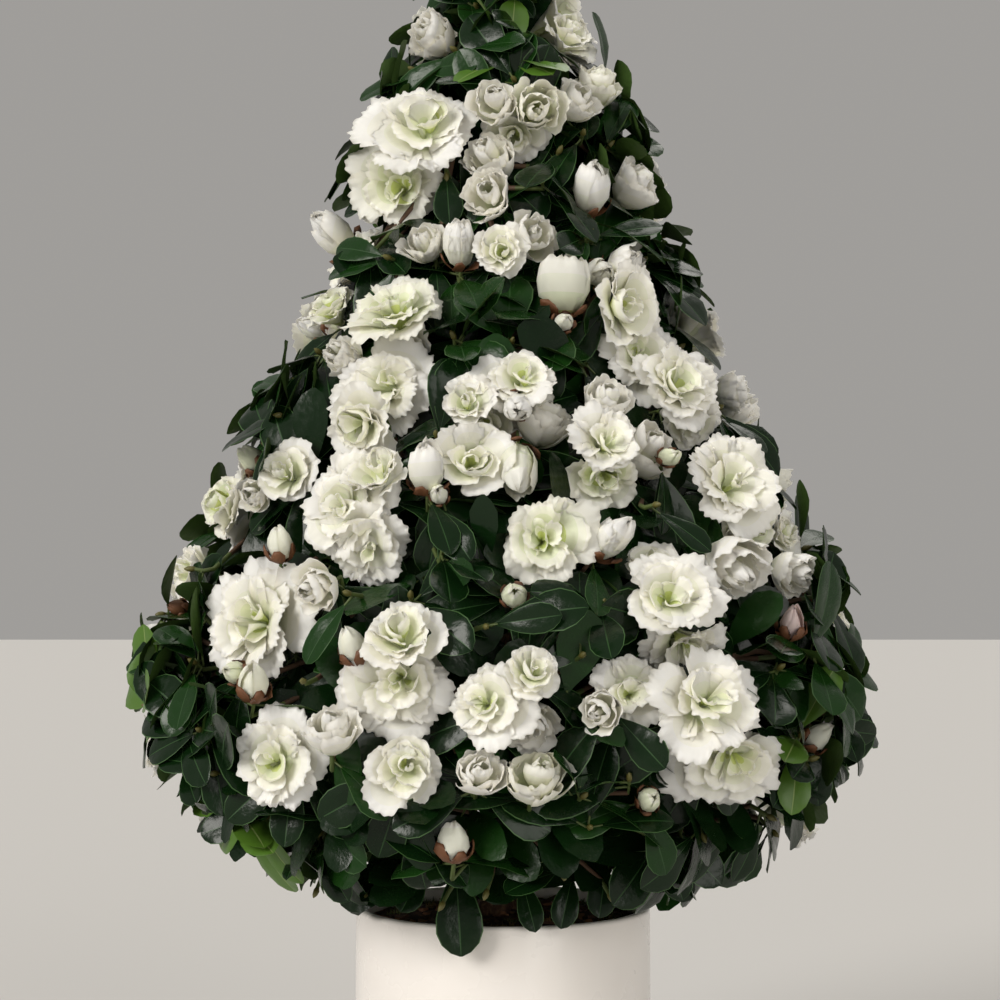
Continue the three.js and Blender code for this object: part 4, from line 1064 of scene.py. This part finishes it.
# Each ring: the petal's run from the base as (out, up) shares of the breadth, how many petals,
# half their angle, roundness, crimp in millimetres, net, and the tints from base to edge.
OUTER_TINTS = (LIME, CREAM, IVORY, WHITE, WHITE)
SECOND_TINTS = (LIME, LIME, CREAM, IVORY, WHITE)
INNER_TINTS = (THROAT, LIME, CREAM, IVORY, WHITE)
CORE_TINTS = (THROAT, THROAT, LIME, CREAM, IVORY)
BUD_TINTS = (LIME, CREAM, IVORY, WHITE, WHITE)
CUP_TINTS = (LIME, CREAM, CREAM, CREAM, IVORY)
RINGS = {
    FULL: [
        ([(0.02, 0), (0.08, 0.13), (0.19, 0.25), (0.33, 0.33), (0.46, 0.35), (0.57, 0.32)],
         5, 46, 0.3, 0.6, "fine", OUTER_TINTS),
        ([(0.02, 0.02), (0.06, 0.15), (0.14, 0.28), (0.26, 0.37), (0.37, 0.41), (0.46, 0.41)],
         4, 56, 0.28, 0.6, "fine", SECOND_TINTS),
        ([(0.015, 0.04), (0.04, 0.17), (0.09, 0.3), (0.17, 0.4), (0.25, 0.46), (0.3, 0.47)],
         3, 70, 0.26, 0.6, "mid", INNER_TINTS),
        ([(0.01, 0.08), (0.02, 0.2), (0.05, 0.32), (0.1, 0.42), (0.13, 0.49), (0.12, 0.53)],
         3, 70, 0.25, 0.5, "small", CORE_TINTS),
    ],
    OPEN: [
        ([(0.02, 0), (0.09, 0.12), (0.22, 0.26), (0.36, 0.36), (0.47, 0.42), (0.55, 0.44)],
         5, 47, 0.28, 0.6, "fine", OUTER_TINTS),
        ([(0.02, 0.03), (0.07, 0.15), (0.17, 0.3), (0.28, 0.42), (0.36, 0.49), (0.4, 0.52)],
         4, 58, 0.26, 0.6, "mid", SECOND_TINTS),
        ([(0.01, 0.06), (0.04, 0.19), (0.1, 0.34), (0.17, 0.46), (0.21, 0.54), (0.22, 0.58)],
         3, 72, 0.24, 0.6, "mid", INNER_TINTS),
        ([(0.01, 0.1), (0.03, 0.22), (0.08, 0.37), (0.12, 0.48), (0.1, 0.57), (0.05, 0.62)],
         2, 100, 0.2, 0.5, "small", CORE_TINTS),
    ],
    HALF: [
        ([(0.03, 0), (0.2, 0.1), (0.36, 0.27), (0.45, 0.48), (0.5, 0.66), (0.54, 0.78)],
         5, 50, 0.24, 0.6, "mid", OUTER_TINTS),
        ([(0.02, 0.03), (0.15, 0.15), (0.28, 0.34), (0.36, 0.55), (0.38, 0.73), (0.35, 0.87)],
         4, 62, 0.22, 0.6, "mid", BUD_TINTS),
        ([(0.01, 0.06), (0.1, 0.26), (0.21, 0.5), (0.26, 0.72), (0.23, 0.88), (0.15, 0.98)],
         3, 78, 0.2, 0.5, "small", BUD_TINTS),
        ([(0.01, 0.1), (0.07, 0.32), (0.14, 0.55), (0.15, 0.75), (0.11, 0.9), (0.03, 0.99)],
         2, 110, 0.16, 0.4, "small", SECOND_TINTS),
    ],
    TULIP: [
        ([(0.03, 0), (0.28, 0.15), (0.44, 0.46), (0.46, 0.8), (0.37, 1.1), (0.25, 1.28)],
         3, 84, 0.16, 0.5, "mid", BUD_TINTS),
        ([(0.02, 0.05), (0.22, 0.22), (0.38, 0.54), (0.39, 0.88), (0.25, 1.2), (0.0, 1.4)],
         3, 84, 0.1, 0.5, "small", BUD_TINTS),
    ],
    BUD: [
        ([(0.03, 0), (0.32, 0.16), (0.47, 0.45), (0.43, 0.8), (0.26, 1.12), (0.02, 1.36)],
         3, 80, 0.1, 0.2, "small", CUP_TINTS),
    ],
}  # fmt: skip
# Full flowers wider than this have more petals, but for two broad-petalled ones near the top.
VERY_DOUBLE = 49
VERY_DOUBLE_PETALS = (5, 5, 5, 4)
BROAD_PETALLED = {(-46, 573), (-56, 545)}
# Brown papery scales hug the foot of a bud. The open flowers have dropped theirs.
SCALES = {
    TULIP: ([(0.1, -0.06), (0.36, 0.1), (0.5, 0.3), (0.54, 0.46)], 4, 24),
    BUD: ([(0.1, -0.08), (0.38, 0.1), (0.52, 0.34), (0.51, 0.55), (0.45, 0.72)], 5, 32),
}
SPIRAL = (0, 0.012, 0.035, 0.05)
CREAMY_SHARE = 0.15
OUTER_SIZES = (0.78, 0.25)  # the least size of a petal, and how much more it may be
INNER_SIZES = (0.83, 0.18)
LOOSE = {FULL: 0.42, OPEN: 0.42, HALF: 0.24, TULIP: 0.14, BUD: 0.14}  # spread of a petal's lean
SPECIAL_TINTS = {(143, 315): PINK, (-172, 320): SCALE}  # by the first two numbers of the end


def petal_points(net, end, run, spin, half_angle, roundness, crimp, draw, lean, spiral):
    """A petal that follows its run out from the flower's base, waved and crimped at its edge."""
    share, across, b = net["share"], net["across"], end["breadth"]
    knots = np.linspace(0, 1, len(run))
    run = np.array(run) * b
    arc = across * half_angle * run[:, 0].max()
    p = [2 * math.pi * next(draw) for _ in range(8)]
    notches = DEEP_NOTCH[0] * np.maximum(0, np.sin(arc / DEEP_NOTCH[1] + p[2])) ** 6
    for i, (depth, long) in enumerate(NOTCHES):
        notches = notches + depth * (1 + np.sin(arc / long + p[i]))
    notches = notches * min(1, 1.7 * crimp)
    along = share * (1 - roundness * np.abs(across) ** 2.6) - share**9 * notches
    steps = (0, -SLOPE_STEP, SLOPE_STEP)
    places = [[np.interp(along + step, knots, run[:, i]) for i in (0, 1)] for step in steps]
    (out, up), before, after = places
    slope_out, slope_up = after[0] - before[0], after[1] - before[1]
    steep = np.hypot(slope_out, slope_up) + 1e-9
    wave = crimp * share**7 * np.sin(arc / CRIMP_LENGTH + p[3])
    wave = wave * (1 + 0.6 * np.sin(arc / 3 + p[4]))
    for i, (high, growth, long) in enumerate(FOLDS, 5):
        wave = wave + high * b * share**growth * np.sin(arc / (long * b) + p[i])
    wave = wave + 0.04 * b * across * share
    wave = wave + 0.07 * b * (next(draw) - 0.35) * across**2 * share**2
    side, other = end["side"] * end["squash"], end["other"] / end["squash"]
    turn = spin + across * half_angle
    sheets = []
    for below in (0, PETAL_THICK * net["inside"]):
        o = out - slope_up / steep * (wave - below) + spiral * b * across * share
        u = up + slope_out / steep * (wave - below)
        o, u = o * math.cos(lean) + u * math.sin(lean), u * math.cos(lean) - o * math.sin(lean)
        sheet = end["point"] + np.outer(o * np.cos(turn), side) + np.outer(o * np.sin(turn), other)
        sheets.append(sheet + np.outer(u, end["axis"]))
    return np.vstack(sheets)


heaps = {FULL: [Gathered(), Gathered()], OPEN: [Gathered()], HALF: [Gathered()]}
scales = Gathered()
draw = seeded(59)
for end in flower_ends:
    stage, breadth, seen_at = end["stage"], end["breadth"], end["seen_at"]
    spin = 2 * math.pi * next(draw)
    creamier = next(draw) < CREAMY_SHARE
    heap = heaps.get(stage, heaps[HALF])
    heart = end["side"] * (next(draw) - 0.5) + end["other"] * (next(draw) - 0.5)
    end["squash"] = 0.92 + 0.16 * next(draw)
    very_double = stage is FULL and breadth > VERY_DOUBLE and seen_at not in BROAD_PETALLED
    for number, (run, count, half, roundness, crimp, rows, tints) in enumerate(RINGS[stage]):
        if very_double:
            half *= (count / VERY_DOUBLE_PETALS[number]) ** 0.6
            count = VERY_DOUBLE_PETALS[number]
        net = NETS["mid" if rows == "fine" and not seen_at else rows]
        shades = np.array(tints)
        if creamier:
            shades = np.maximum(shades - 1, 0)
        shades = np.where(shades > THROAT, SPECIAL_TINTS.get(seen_at, shades), shades)
        spin += math.pi / count + 0.3 * (next(draw) - 0.5)
        least, more = INNER_SIZES if number else OUTER_SIZES
        for i in range(count):
            size = least + more * next(draw)
            points = petal_points(
                net,
                end,
                [(out * size, up * size) for out, up in run],
                spin + 2 * math.pi * i / count + 0.2 * (next(draw) - 0.5),
                math.radians(half * (0.9 + 0.2 * next(draw))),
                roundness * (0.7 + 0.6 * next(draw)),
                crimp * min(1, breadth / 40 + 0.2),
                draw,
                LOOSE[stage] * (next(draw) - 0.5),
                SPIRAL[number],
            )
            points = points + heart * breadth * 0.07 * number
            heap[min(number // 2, len(heap) - 1)].add(points, net["faces"], shades[net["bands"]])
    if stage in SCALES:
        run, count, half = SCALES[stage]
        for i in range(count):
            size = 0.75 + 0.35 * next(draw)
            run_now = [(out, up * size) for out, up in run]
            turn = spin + 2 * math.pi * i / count
            shape = (run_now, turn, math.radians(half), 0.5, 0.1, draw, 0, 0)
            scales.add(petal_points(NETS["scale"], end, *shape), NETS["scale"]["faces"], SCALE)

for stage, heap in heaps.items():
    for i, gathered in enumerate(heap):
        piece = gathered.made(f"petals_{stage}_{i + 1}", PETAL_FINISHES, "foliage")
        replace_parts(piece, *foliage_nodes)
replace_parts(scales.made("bud_scales", PETAL_FINISHES, "foliage"), *foliage_nodes)

# The stage: a plain pale floor, broad soft light from the left, weaker light from the front and
# from above, and a camera where the photograph was taken from.
bpy.ops.object.select_all(action="DESELECT")
bpy.ops.mesh.primitive_plane_add(size=60, location=(0, 0, 0))
floor = bpy.context.active_object
floor.name = "floor"
paper, tree, shader = finish_named("pale paper")
fill(tree, shader, {"Base Color": colour(0xCFCDCA), "Roughness": 0.9, "Specular IOR Level": 0.1})
floor.data.materials.append(paper)

world = bpy.data.worlds.new("studio")
world.use_nodes = True
sky = world.node_tree.nodes["Background"]
fill(world.node_tree, sky, {"Color": colour(0xCFCCC8), "Strength": 0.56})
bpy.context.scene.world = world


def soft_light(name, position, breadth, strength):
    """Light that comes evenly from a disc this many degrees wide, in this direction."""
    light = bpy.data.lights.new(name, "SUN")
    light.angle = math.radians(breadth)
    light.energy = strength
    light.color = (1, 0.97, 0.92)
    lamp = bpy.data.objects.new(name, light)
    bpy.context.scene.collection.objects.link(lamp)
    lamp.location = position
    lamp.rotation_euler = (-lamp.location).to_track_quat("-Z", "Y").to_euler()


soft_light("key", (-1.5, -1.4, 0.95), 28, 2.25)
soft_light("fill", (1.2, -2.0, 0.6), 38, 0.85)
soft_light("top", (0.4, 1.0, 1.8), 40, 0.9)

camera = bpy.data.objects.new("camera", bpy.data.cameras.new("camera"))
bpy.context.scene.collection.objects.link(camera)
camera.location = CAMERA_PLACE * MM
camera.rotation_euler = (math.radians(93.52), 0, 0)
camera.data.sensor_width = 36
camera.data.lens = 70.2
bpy.context.scene.camera = camera
bpy.context.scene.view_settings.view_transform = "Standard"
